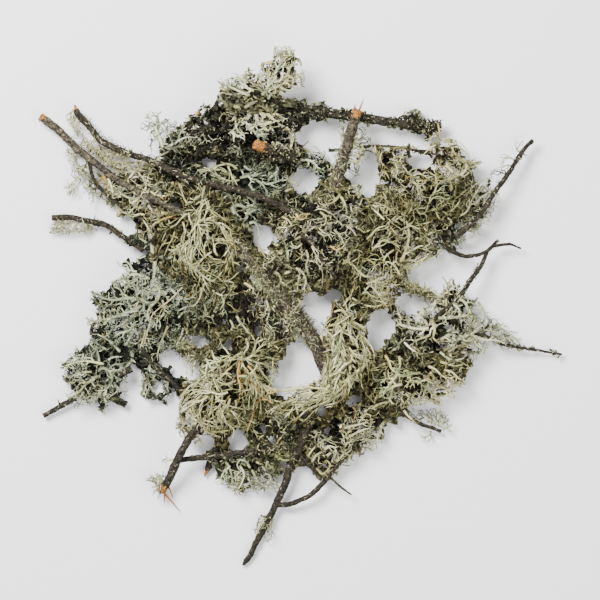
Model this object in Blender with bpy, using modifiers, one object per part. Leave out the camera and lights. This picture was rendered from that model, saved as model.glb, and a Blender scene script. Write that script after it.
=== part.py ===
"""Lichen-covered twigs: a flat, loose tangle of small branches held together by lichen.

Lengths are in millimetres until a mesh is made. +Z is up, the tangle lies on z = 0, and the origin is
below its middle. X runs to the right and Y away from the viewer who looks down on it.
"""

import bmesh
import bpy
import numpy as np
from mathutils import Matrix, Vector, noise

MM = 0.001
GAP = 0.35
TWIG_STEP = 16.0
ROUTE_SAMPLES = 8
BARK_RELIEF = 0.12
VOXEL = 1.7
LOBE_PITCH = 11.5
LUMP_SIZE = 13.0
LOBE_OUT = 1.1
LOBE_IN = 0.7
SMALLEST_FACE_EDGE = 0.02
FLAT_WITHIN = 0.6

BARK = "bark"
MOSSY_BARK = "mossy_bark"
NEEDLE = "needle"
GREY = "grey_lichen"
PALE = "pale_lichen"
STRAW = "straw_lichen"
BUSHY = "bushy_lichen"
CRUST = "leafy_crust"
MOSS = "dark_moss"

FINISHES = {
    BARK: ((0.13, 0.105, 0.085), 0.9),
    MOSSY_BARK: ((0.12, 0.12, 0.07), 0.95),
    NEEDLE: ((0.45, 0.36, 0.2), 0.6),
    GREY: ((0.33, 0.37, 0.35), 0.9),
    PALE: ((0.5, 0.52, 0.43), 0.9),
    STRAW: ((0.52, 0.5, 0.34), 0.9),
    BUSHY: ((0.3, 0.3, 0.2), 0.95),
    CRUST: ((0.2, 0.21, 0.15), 0.95),
    MOSS: ((0.11, 0.12, 0.07), 0.95),
}

# Each twig: its route from the thick end, and the width at its first and last point.
TWIGS = {
    "thick_branch": (
        [(21, -49, 9), (11, -26, 10), (0, -10, 11), (-11, 4, 12), (-27, 23, 14), (-39, 39, 15), (-48, 49, 16)],
        (10.5, 6.0),
    ),
    "upper_left_twig": (
        [(-182, 134, 7), (-168, 123, 8), (-158, 113, 10), (-148, 105, 12), (-126, 88, 16), (-105, 77, 20),
         (-78, 64, 23), (-56, 55, 23)],
        (6.3, 4.2),
    ),
    "upper_left_fork": (
        [(-148, 104, 11.5), (-144, 89, 12), (-133, 77, 13), (-119, 68, 14), (-98, 51, 15), (-88, 46, 15)],
        (2.9, 2.2),
    ),
    "long_top_twig": (
        [(0, 64, 30), (-27, 77, 26), (-56, 85, 24), (-84, 93, 22), (-105, 103, 19), (-119, 107, 16),
         (-130, 112, 14), (-140, 117, 12), (-147, 126, 11), (-155, 135, 10), (-158, 142, 9)],
        (4.8, 3.4),
    ),
    "left_twig": (
        [(-109, 40, 13), (-126, 51, 10), (-137, 58, 8), (-151, 61, 6), (-161, 63, 5), (-174, 63, 4)],
        (3.8, 3.2),
    ),
    "broken_top_twig": (
        [(18, 73, 13), (25, 89, 16), (30, 103, 19), (36, 124, 22.5), (40, 138, 25)],
        (8.2, 6.3),
    ),
    "level_top_twig": (
        [(-21, 140, 15), (7, 138, 14), (28, 135, 13), (56, 131, 12), (77, 128, 11), (99, 126, 10)],
        (8.0, 6.4),
    ),
    "thin_top_twig": (
        [(20, 110, 7), (32, 111, 8), (49, 113, 9), (70, 112, 10), (98, 107, 12), (116, 105, 13)],
        (2.6, 1.8),
    ),
    "orange_stub": ([(-4, 104, 22), (-18, 109, 27), (-32, 114, 31)], (8.6, 10.0)),
    "middle_twig": ([(0, 52, 35), (8, 45, 37), (13, 37, 38), (24, 22, 36)], (3.8, 3.0)),
    "upper_right_twig": (
        [(109, 49, 22), (126, 65, 19), (134, 77, 17), (140, 86, 15), (147, 95, 13), (153, 105, 11),
         (158, 112, 10), (163, 117, 9)],
        (3.6, 3.0),
    ),
    "right_twig": ([(100, 43, 16), (112, 37, 15), (119, 36, 14), (130, 39, 13), (139, 47, 12)], (3.2, 2.0)),
    "right_twig_fork": (
        [(131, 40, 12), (127, 30, 13), (119, 19, 16), (111, 7, 19), (93, -9, 24)],
        (2.8, 3.6),
    ),
    "right_twig_tip": ([(134, 42.5, 12.5), (144, 44, 10), (148, 44, 9), (155, 41, 8)], (2.2, 1.4)),
    "mossy_right_twig": ([(64, 20, 10), (77, 14, 11), (88, 10, 11), (99, 5, 10)], (6.0, 5.0)),
    "right_tip_twig": (
        [(104, -18, 15), (126, -19, 13), (140, -25, 10), (154, -28, 8), (168, -30, 6), (183.6, -33, 4)],
        (3.6, 2.0),
    ),
    "lower_right_twig": (
        [(62, -62, 14), (67, -68, 13), (74, -75, 11), (83, -81, 9), (91, -84, 7), (99, -87, 5)],
        (3.2, 2.4),
    ),
    "knobbly_twig": (
        [(-118, -43, 13), (-134, -51, 11), (-151, -59, 8), (-162, -66, 6), (-180, -76, 4)],
        (3.8, 2.8),
    ),
    "knobbly_twig_fork": ([(-146, -56.5, 9), (-138, -59.5, 7), (-132, -63, 6), (-122, -68, 5)], (3.6, 4.4)),
    "thin_lower_left_twig": (
        [(-112, -28, 14), (-105, -37, 12), (-98, -45, 10), (-90, -52, 8), (-82, -60, 6)],
        (2.6, 2.2),
    ),
    "mossy_left_twig": ([(-90, -19, 12), (-84, -26, 12), (-74, -33, 11), (-65, -38, 10)], (7.4, 6.0)),
    "splintered_twig": (
        [(-70, -82, 27), (-77, -91, 24), (-83, -101, 20), (-88, -112, 15), (-92, -121, 11), (-97, -129, 8)],
        (5.4, 6.4),
    ),
    "pointed_twig": (
        [(-46, -78, 7), (-52, -87, 6), (-57, -96, 5), (-62, -105, 4.5), (-64, -111, 4), (-67, -119, 3)],
        (5.8, 2.6),
    ),
    "level_bottom_twig": (
        [(-2, -100, 12), (-14, -98, 12), (-42, -102, 12), (-70, -105, 12.5), (-84, -107, 12)],
        (5.6, 4.6),
    ),
    "bottom_twig": (
        [(20, -48, 10), (12, -66, 15), (8, -75, 15), (-1, -100, 12), (-6, -108, 11), (-10, -121, 9),
         (-16, -135, 7), (-21, -145, 6), (-27, -156, 5), (-37, -175, 3), (-41, -181, 2)],
        (6.0, 2.4),
    ),
    "bottom_twig_fork": (
        [(-15, -138, 6.6), (-7, -138, 7), (0, -135, 8), (8, -131, 9), (15, -124, 10), (21, -117, 11),
         (28, -108, 12), (38, -97, 13)],
        (3.4, 2.8),
    ),
    "bottom_spike": ([(20, -118, 10.6), (30, -127, 9), (36, -131, 8)], (2.2, 1.2)),
    "bottom_side_twig": ([(-1, -101, 11.4), (6, -110, 15), (13, -116, 16)], (2.8, 2.0)),
    "pine_needle": ([(-82, 14, 37), (-91, 5, 38), (-102, -4, 38.5), (-105, -12, 38), (-109, -26, 37)], (1.2, 0.9)),
}
MOSSY_TWIGS = ("mossy_right_twig", "mossy_left_twig")

# A fork starts inside the twig that carries it and is cut back to that twig's bark.
CARRIED_BY = {
    "upper_left_fork": "upper_left_twig",
    "right_twig_fork": "right_twig",
    "right_twig_tip": "right_twig",
    "knobbly_twig_fork": "knobbly_twig",
    "level_bottom_twig": "bottom_twig",
    "bottom_twig": "thick_branch",
    "bottom_twig_fork": "bottom_twig",
    "bottom_spike": "bottom_twig_fork",
    "bottom_side_twig": "bottom_twig",
}

# Splinters, spurs and knots fused to a twig: the twig, the foot, the tip and the width of the foot.
SPURS = (
    ("broken_top_twig", (41, 137, 25), (44.5, 145.5, 27), 2.4),
    ("broken_top_twig", (38, 137, 24), (38.5, 142, 25), 2.2),
    ("upper_left_twig", (-170, 124.5, 8), (-170, 129.5, 11), 2.0),
    ("upper_left_twig", (-180, 133, 7), (-183, 130, 6), 3.4),
    ("splintered_twig", (-96, -127, 8), (-85, -142, 4), 2.8),
    ("splintered_twig", (-93, -123, 9), (-90, -134, 6), 2.2),
    ("splintered_twig", (-97, -128, 8), (-101, -133, 6), 2.4),
    ("level_top_twig", (52, 131, 12), (50, 137, 13), 2.4),
    ("thick_branch", (-4, -5, 13), (4, 2, 19), 3.6),
    ("bottom_twig", (-23, -148, 6), (-28, -145, 8), 1.8),
    ("bottom_twig", (-12, -125, 8), (-7.5, -124, 10), 1.8),
    ("knobbly_twig", (-168, -69, 6), (-170, -64, 7), 2.2),
    ("knobbly_twig", (-158, -63.5, 7), (-155, -68, 7), 2.2),
    ("upper_right_twig", (155, 108, 10.5), (159.5, 106, 12), 1.6),
    ("long_top_twig", (-143, 120, 11.5), (-139, 124, 14), 1.8),
    ("left_twig", (-145, 60, 7), (-143, 65, 9), 1.6),
)

# Each lichen: its outline seen from above, its lowest and highest place, how far its lobes reach in and
# out of that outline, its number of triangles and its finish.
LICHENS = {
    "pale_top_tuft": (
        [(-57, 155), (-42, 161), (-28, 164), (-17, 179), (-10, 181.2), (-3, 176), (0, 160), (-7, 149),
         (-14, 145), (-50, 146)],
        (20, 46), 3.0, 120, PALE,
    ),
    "leafy_top_crust": (
        [(-93, 113), (-87, 124), (-77, 133), (-66, 140), (-55, 146), (-10, 144), (20, 141), (21, 131),
         (2, 124), (-6, 117), (-6, 106), (-21, 105), (-45, 106), (-70, 106)],
        (4, 34), 2.5, 190, CRUST,
    ),
    "grey_top_lichen": (
        [(-66, 104), (-40, 104), (-8, 104), (2, 111), (15, 111), (22, 101), (22, 88), (15, 77), (9, 79),
         (12, 92), (6, 98), (-3, 95), (-4, 86), (-8, 75), (-18, 67), (-28, 52), (-36, 58), (-50, 60),
         (-60, 72), (-82, 82), (-96, 92), (-92, 104)],
        (0, 25), 3.5, 190, GREY,
    ),
    "upper_left_sprig": (
        [(-108, 106), (-107, 116), (-107, 131), (-102, 127), (-95, 132), (-92, 122), (-86, 112), (-94, 105)],
        (14, 34), 3.0, 50, GREY,
    ),
    "upper_left_fringe": (
        [(-161, 112), (-152, 98), (-148, 92), (-140, 82), (-132, 78), (-136, 90), (-141, 102), (-139, 114),
         (-147, 118)],
        (0, 17), 3.0, 60, BUSHY,
    ),
    "fine_left_mat": (
        [(-138, 92), (-126, 96), (-108, 93), (-92, 92), (-78, 82), (-72, 68), (-80, 52), (-92, 42), (-108, 45),
         (-122, 60), (-134, 74)],
        (2, 22), 3.0, 120, BUSHY,
    ),
    "left_tip_tuft": (
        [(-174, 61), (-160, 61), (-148, 58), (-142, 54), (-150, 50), (-160, 49), (-172, 52)],
        (0, 9), 1.6, 50, PALE,
    ),
    "straw_left_tuft": (
        [(-86, 76), (-70, 80), (-56, 72), (-50, 58), (-44, 42), (-50, 28), (-52, 14), (-64, 12), (-78, 20),
         (-94, 30), (-96, 46), (-88, 60)],
        (6, 44), 3.5, 170, STRAW,
    ),
    "grey_left_lichen": (
        [(-104, 48), (-116, 42), (-127, 32), (-138, 20), (-145, 6), (-141, -5), (-147, -12), (-138, -22),
         (-122, -28), (-100, -30), (-84, -26), (-70, -14), (-66, 6), (-72, 20), (-94, 28)],
        (0, 36), 4.5, 280, GREY,
    ),
    "lower_left_lichen": (
        [(-147, -26), (-138, -30), (-124, -32), (-118, -44), (-126, -52), (-125, -64), (-137, -69),
         (-150, -64), (-162, -56), (-166, -44), (-160, -34)],
        (0, 26), 3.5, 130, GREY,
    ),
    "left_middle_mat": (
        [(-62, 20), (-44, 24), (-26, 14), (-12, 0), (-2, -14), (-8, -26), (-24, -30), (-40, -22), (-52, -16),
         (-66, -24), (-76, -14), (-74, 2)],
        (6, 27), 3.0, 120, BUSHY,
    ),
    "middle_bush": (
        [(-18, 68), (-6, 78), (12, 79), (24, 74), (34, 82), (44, 86), (50, 78), (48, 66), (42, 52), (38, 38),
         (34, 26), (24, 16), (8, 17), (-6, 24), (-15, 40), (-18, 54)],
        (6, 44), 3.5, 190, BUSHY,
    ),
    "upper_right_clump": (
        [(55, 110), (66, 114), (80, 110), (86, 102), (91, 111), (101, 117), (113, 112), (123, 103), (120, 92), (112, 80),
         (100, 68), (78, 66), (66, 72), (58, 84), (54, 98)],
        (2, 40), 4.0, 190, STRAW,
    ),
    "right_clump": (
        [(119, 86), (126, 90), (134, 84), (136, 72), (128, 62), (117, 54), (112, 42), (100, 40), (90, 44),
         (86, 56), (88, 64), (102, 64), (114, 75)],
        (0, 34), 3.5, 120, PALE,
    ),
    "right_middle_clump": (
        [(52, 68), (56, 80), (64, 71), (80, 63), (82, 48), (78, 30), (70, 18), (66, 5), (54, 2), (43, 6),
         (38, 18), (42, 34), (47, 50)],
        (0, 46), 3.5, 190, STRAW,
    ),
    "broken_twig_tuft": (
        [(36, 124), (41, 122), (44, 112), (43, 100), (36, 92), (31, 98), (35, 108)],
        (14, 26), 1.6, 50, PALE,
    ),
    "level_twig_nub": (
        [(72, 133), (77, 138), (83, 137), (87, 131), (86, 124), (81, 120), (75, 122)],
        (3, 19), 1.4, 50, CRUST,
    ),
    "upper_right_tufts": (
        [(139, 92), (146, 97), (150, 104), (151, 113), (156, 108), (157, 101), (151, 93), (144, 88)],
        (6, 19), 1.8, 50, GREY,
    ),
    "straw_hanging_tuft": (
        [(20, 10), (28, 20), (37, 16), (38, 4), (44, -8), (52, -24), (50, -40), (38, -56), (26, -68), (8, -76), (-2, -70), (-6, -62),
         (8, -54), (17, -46), (19, -30), (16, -12)],
        (8, 46), 3.5, 190, STRAW,
    ),
    "lower_left_fan": (
        [(-88, -66), (-84, -60), (-74, -50), (-68, -34), (-58, -26), (-42, -22), (-28, -28), (-12, -30),
         (-16, -40), (-24, -54), (-22, -66), (-42, -74), (-48, -86), (-62, -92), (-78, -92), (-87, -78)],
        (0, 40), 4.0, 220, STRAW,
    ),
    "dark_moss": (
        [(-38, -72), (-20, -70), (-6, -74), (0, -84), (1, -96), (-6, -106), (-20, -104), (-36, -98), (-42, -86)],
        (3, 26), 2.5, 90, MOSS,
    ),
    "bottom_tuft": (
        [(-58, -104), (-44, -102), (-28, -104), (-15, -108), (-15, -118), (-24, -126), (-40, -129), (-54, -122),
         (-60, -113)],
        (0, 17), 3.0, 90, PALE,
    ),
    "lower_right_mat": (
        [(3, -76), (12, -82), (26, -68), (42, -64), (62, -70), (62, -82), (58, -90), (50, -96), (36, -102),
         (28, -112), (20, -120), (8, -118), (0, -108), (2, -92)],
        (0, 24), 3.5, 170, BUSHY,
    ),
    "lower_right_upper_clump": (
        [(67, 2), (80, -6), (92, 0), (106, 19), (116, 10), (122, -2), (124, -22), (118, -34), (100, -36),
         (80, -32), (66, -24), (63, -10)],
        (0, 42), 4.0, 190, PALE,
    ),
    "lower_right_clump": (
        [(62, -30), (80, -38), (100, -41), (115, -40), (110, -54), (95, -66), (68, -69), (50, -65), (42, -60),
         (54, -44)],
        (0, 36), 3.5, 170, STRAW,
    ),
    "right_tip_tuft": (
        [(122, -13), (134, -12), (146, -17), (154, -24), (144, -29), (132, -28), (125, -24)],
        (4, 20), 2.0, 50, PALE,
    ),
    "lower_right_fuzz": (
        [(80, -74), (86, -76), (96, -78), (103, -82), (101, -88), (90, -86), (80, -82)],
        (0, 11), 1.2, 50, BUSHY,
    ),
    "splintered_twig_tufts": (
        [(-106, -118), (-103, -128), (-97, -131), (-93, -124), (-95, -116), (-92, -108), (-96, -106),
         (-101, -112)],
        (2, 16), 1.4, 50, PALE,
    ),
    "bottom_twig_tuft": (
        [(-32, -148), (-26, -146), (-22, -150), (-24, -158), (-29, -164), (-33, -160)],
        (0, 11), 1.2, 50, PALE,
    ),
    "thin_lower_left_tufts": (
        [(-112, -30), (-105, -31), (-99, -40), (-91, -49), (-85, -57), (-91, -62), (-98, -54), (-103, -49),
         (-104, -63), (-110, -66), (-114, -54), (-112, -44)],
        (0, 14), 1.8, 80, GREY,
    ),
    "thick_branch_tuft": (
        [(-38, 43), (-31, 48), (-22, 41), (-13, 33), (0, 26), (9, 17), (9, 5), (1, 7), (-8, 13), (-20, 22),
         (-31, 31)],
        (5, 26), 2.5, 90, BUSHY,
    ),
}


def finish(name):
    colour, roughness = FINISHES[name]
    material = bpy.data.materials.get(name) or bpy.data.materials.new(name)
    material.use_nodes = True
    shader = material.node_tree.nodes["Principled BSDF"]
    shader.inputs["Base Color"].default_value = (*colour, 1.0)
    shader.inputs["Roughness"].default_value = roughness
    shader.inputs["Metallic"].default_value = 0.0
    material.diffuse_color = (*colour, 1.0)
    return material


def new_collection(name):
    collection = bpy.data.collections.new(name)
    bpy.context.scene.collection.children.link(collection)
    return collection


def smooth_route(points, step):
    """Points about one step apart on a smooth curve through the given ones."""
    knots = [Vector(point) for point in points]
    ends = [knots[0] * 2 - knots[1], *knots, knots[-1] * 2 - knots[-2]]
    curve = []
    for before, start, end, after in zip(ends, ends[1:], ends[2:], ends[3:]):
        for index in range(ROUTE_SAMPLES):
            t = index / ROUTE_SAMPLES
            curve.append(
                0.5
                * (
                    2 * start
                    + (end - before) * t
                    + (2 * before - 5 * start + 4 * end - after) * t * t
                    + (3 * start - before - 3 * end + after) * t * t * t
                )
            )
    curve.append(knots[-1])
    lengths = [0.0]
    for start, end in zip(curve, curve[1:]):
        lengths.append(lengths[-1] + (end - start).length)
    count = max(2, round(lengths[-1] / step))
    nearest = [min(range(len(curve)), key=lambda at: abs(lengths[at] - lengths[-1] * index / count))
               for index in range(count + 1)]
    return [curve[at] for at in nearest]


def tube(name, points, widths, collection, extra=0.0):
    """A tapered tube of six sides along the points, as one closed mesh."""
    curve = bpy.data.curves.new(name, "CURVE")
    curve.dimensions = "3D"
    curve.bevel_depth = MM
    curve.bevel_resolution = 1
    curve.use_fill_caps = True
    curve.render_resolution_u = 0
    spline = curve.splines.new("POLY")
    spline.points.add(len(points) - 1)
    for index, point in enumerate(points):
        share = index / (len(points) - 1)
        relief = 1 + BARK_RELIEF * noise.noise(Vector(point) * 0.13) if len(points) > 2 else 1
        spline.points[index].co = (*(Vector(point) * MM), 1.0)
        spline.points[index].radius = (widths[0] + (widths[1] - widths[0]) * share) / 2 * relief + extra
    source = bpy.data.objects.new(name, curve)
    collection.objects.link(source)
    bpy.context.view_layer.update()
    mesh = bpy.data.meshes.new_from_object(source.evaluated_get(bpy.context.evaluated_depsgraph_get()))
    bpy.data.objects.remove(source)
    bpy.data.curves.remove(curve)
    weld = bmesh.new()
    weld.from_mesh(mesh)
    bmesh.ops.remove_doubles(weld, verts=weld.verts, dist=0.01 * MM)
    bmesh.ops.recalc_face_normals(weld, faces=weld.faces)
    weld.to_mesh(mesh)
    weld.free()
    piece = bpy.data.objects.new(name, mesh)
    collection.objects.link(piece)
    return piece


def add_boolean(piece, other, operation):
    modifier = piece.modifiers.new(operation.lower() + "_" + other.name, "BOOLEAN")
    modifier.object = other
    modifier.operation = operation
    modifier.solver = "EXACT"


def apply_modifiers(piece):
    bpy.context.view_layer.update()
    mesh = bpy.data.meshes.new_from_object(piece.evaluated_get(bpy.context.evaluated_depsgraph_get()))
    piece.modifiers.clear()
    piece.data = mesh


def keep_largest(piece):
    """Leaves the largest closed body of a piece, without specks and slivers."""
    body = bmesh.new()
    body.from_mesh(piece.data)
    bmesh.ops.triangulate(body, faces=body.faces)
    bmesh.ops.dissolve_degenerate(body, edges=body.edges, dist=SMALLEST_FACE_EDGE * MM)
    islands = []
    left = set(body.verts)
    while left:
        found = {left.pop()}
        edge_of_search = list(found)
        while edge_of_search:
            vert = edge_of_search.pop()
            for edge in vert.link_edges:
                other = edge.other_vert(vert)
                if other not in found:
                    found.add(other)
                    edge_of_search.append(other)
        left -= found
        islands.append(found)
    islands.sort(key=len)
    bmesh.ops.delete(body, geom=[vert for island in islands[:-1] for vert in island], context="VERTS")
    bmesh.ops.triangulate(body, faces=body.faces)
    body.to_mesh(piece.data)
    body.free()


def guide(piece):
    piece.hide_render = True
    piece.display_type = "WIRE"
    return piece


def boxes_meet(one, other):
    def corners(piece):
        places = np.array([vertex.co for vertex in piece.data.vertices])
        return places.min(axis=0), places.max(axis=0)

    (low, high), (other_low, other_high) = corners(one), corners(other)
    return bool(np.all(low < other_high) and np.all(other_low < high))


def make_twigs(parts, guides):
    """The twigs, and for each one a slightly thicker copy that clears a gap around it."""
    twigs, clearances = {}, {}
    for name, (points, widths) in TWIGS.items():
        route = smooth_route(points, TWIG_STEP)
        twigs[name] = tube(name, route, widths, parts)
        twigs[name].data.materials.append(finish(twig_finish(name)))
        clearances[name] = [guide(tube("around_" + name, route, widths, guides, GAP))]
    for index, (name, foot, tip, width) in enumerate(SPURS):
        spur = guide(tube(f"spur_{index}", [foot, tip], (width, width * 0.3), guides))
        add_boolean(twigs[name], spur, "UNION")
        around = tube(f"around_spur_{index}", [foot, tip], (width, width * 0.3), guides, GAP)
        clearances[name].append(guide(around))
    for name, carrier in CARRIED_BY.items():
        for around in clearances[carrier]:
            add_boolean(twigs[name], around, "DIFFERENCE")
    for twig in twigs.values():
        apply_modifiers(twig)
        keep_largest(twig)
    return twigs, clearances


def twig_finish(name):
    if name in MOSSY_TWIGS:
        return MOSSY_BARK
    return NEEDLE if name == "pine_needle" else BARK


def lobed(outline, depth, seed):
    """The outline as a closed ring of lobes, one for each pitch of its length, that reach in and out."""
    corners = [Vector(point) for point in outline]
    ring = []
    side = 1
    for start, end in zip(corners, corners[1:] + corners[:1]):
        along = end - start
        outward = Vector((-along.y, along.x)).normalized()
        count = max(1, round(along.length / LOBE_PITCH * 2))
        for index in range(count):
            place = start + along * (index / count)
            reach = LOBE_OUT if side > 0 else -LOBE_IN
            chance = 0.9 + 0.8 * noise.noise(Vector((place.x * 0.4, place.y * 0.4, seed)))
            ring.append(place + outward * reach * depth * chance)
            side = -side
    return ring


def distance_to_ring(places, ring):
    """How far each place lies from the nearest edge of the ring, seen from above."""
    points = np.array([tuple(point) for point in ring])
    nearest = np.full(len(places), np.inf)
    for start, end in zip(points, np.roll(points, -1, axis=0)):
        along = end - start
        share = np.clip(((places - start) @ along) / (along @ along), 0, 1)
        nearest = np.minimum(nearest, np.linalg.norm(places - start - share[:, None] * along, axis=1))
    return nearest


def cushion(name, outline, heights, depth, triangles, seed, parts):
    """A lumpy cushion of lichen with a lobed rim, a flat underside and a domed top."""
    low, high = heights
    ring = lobed(outline, depth, seed)
    curve = bpy.data.curves.new(name, "CURVE")
    curve.dimensions = "2D"
    curve.fill_mode = "BOTH"
    curve.extrude = (high - low) / 2 * MM
    curve.render_resolution_u = 0
    spline = curve.splines.new("POLY")
    spline.points.add(len(ring) - 1)
    for point, place in zip(spline.points, ring):
        point.co = (place.x * MM, place.y * MM, 0, 1)
    spline.use_cyclic_u = True
    piece = bpy.data.objects.new(name, curve)
    parts.objects.link(piece)
    bpy.context.view_layer.update()
    mesh = bpy.data.meshes.new_from_object(piece.evaluated_get(bpy.context.evaluated_depsgraph_get()))
    bpy.data.objects.remove(piece)
    bpy.data.curves.remove(curve)
    mesh.transform(Matrix.Translation((0, 0, (high + low) / 2 * MM)))
    piece = bpy.data.objects.new(name, mesh)
    parts.objects.link(piece)
    weld = piece.modifiers.new("weld", "WELD")
    weld.merge_threshold = 0.0001
    remesh = piece.modifiers.new("remesh", "REMESH")
    remesh.mode = "VOXEL"
    remesh.voxel_size = VOXEL * MM
    apply_modifiers(piece)
    raise_dome(piece, ring, low, high, seed)
    decimate = piece.modifiers.new("decimate", "DECIMATE")
    decimate.ratio = min(1.0, triangles / (2 * len(piece.data.polygons)))
    decimate.use_collapse_triangulate = True
    apply_modifiers(piece)
    for vertex in piece.data.vertices:
        if vertex.co.z < (low + FLAT_WITHIN) * MM:
            vertex.co.z = low * MM
    keep_largest(piece)
    return piece


def raise_dome(piece, ring, low, high, seed):
    """Moves a slab's top down towards its rim and makes it lumpy."""
    places = np.array([vertex.co for vertex in piece.data.vertices]) / MM
    share = np.clip((places[:, 2] - low) / (high - low), 0, 1)
    inside = distance_to_ring(places[:, :2], ring)
    width = 0.55 * (high - low) + 3
    rise = 1 - (1 - np.clip(inside / width, 0, 1)) ** 2
    lumps = np.array([noise.noise(Vector((x, y, seed * 7)) / LUMP_SIZE) for x, y, _ in places])
    top = low + (high - low) * np.clip(0.36 + 0.64 * rise * (0.8 + 0.5 * lumps), 0.3, 1)
    under = low + 0.18 * (high - low) * (1 - np.clip(inside / 4, 0, 1))
    places[:, 2] = under + share * (top - under)
    for vertex, place in zip(piece.data.vertices, places):
        vertex.co = Vector(place) * MM


def swollen(piece, name, guides):
    """A copy of a lichen that is one gap larger all round."""
    copy = bpy.data.objects.new(name, piece.data.copy())
    guides.objects.link(copy)
    body = bmesh.new()
    body.from_mesh(copy.data)
    body.normal_update()
    for vert in body.verts:
        vert.co += vert.normal * GAP * MM * 1.3
    body.to_mesh(copy.data)
    body.free()
    return guide(copy)


def make_lichens(parts, guides, twigs, clearances):
    """The lichens, each cut back from the twigs that run through it and from the lichens before it."""
    done = []
    for seed, (name, (outline, heights, depth, triangles, kind)) in enumerate(LICHENS.items()):
        piece = cushion(name, outline, heights, depth, triangles, seed, parts)
        piece.data.materials.append(finish(kind))
        around = swollen(piece, "around_" + name, guides)
        for cutters in clearances.values():
            for cutter in cutters:
                if boxes_meet(piece, cutter):
                    add_boolean(piece, cutter, "DIFFERENCE")
        for earlier in done:
            if boxes_meet(piece, earlier):
                add_boolean(piece, earlier, "DIFFERENCE")
        apply_modifiers(piece)
        keep_largest(piece)
        done.append(around)


def build():
    for thing in list(bpy.data.objects):
        bpy.data.objects.remove(thing)
    parts = new_collection("lichen_covered_twigs")
    guides = new_collection("guides")
    twigs, clearances = make_twigs(parts, guides)
    make_lichens(parts, guides, twigs, clearances)


build()
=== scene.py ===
import math
import random
from itertools import product

import bmesh
import bpy
import numpy as np
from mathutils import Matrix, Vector, noise
from mathutils.bvhtree import BVHTree
from mathutils.kdtree import KDTree


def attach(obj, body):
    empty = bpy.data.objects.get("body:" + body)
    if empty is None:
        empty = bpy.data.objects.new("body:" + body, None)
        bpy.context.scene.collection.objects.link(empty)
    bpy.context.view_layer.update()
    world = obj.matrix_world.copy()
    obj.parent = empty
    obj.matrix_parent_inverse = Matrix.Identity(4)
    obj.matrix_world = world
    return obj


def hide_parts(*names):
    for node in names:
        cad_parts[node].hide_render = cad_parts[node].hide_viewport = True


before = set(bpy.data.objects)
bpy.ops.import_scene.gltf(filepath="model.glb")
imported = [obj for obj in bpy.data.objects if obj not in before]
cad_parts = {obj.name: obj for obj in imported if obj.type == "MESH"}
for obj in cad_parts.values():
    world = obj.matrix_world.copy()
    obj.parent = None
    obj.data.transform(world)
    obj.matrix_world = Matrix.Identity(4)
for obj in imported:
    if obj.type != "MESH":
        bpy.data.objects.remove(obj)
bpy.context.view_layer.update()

# Lengths are in millimetres until a mesh is made.
MM = 0.001

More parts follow.
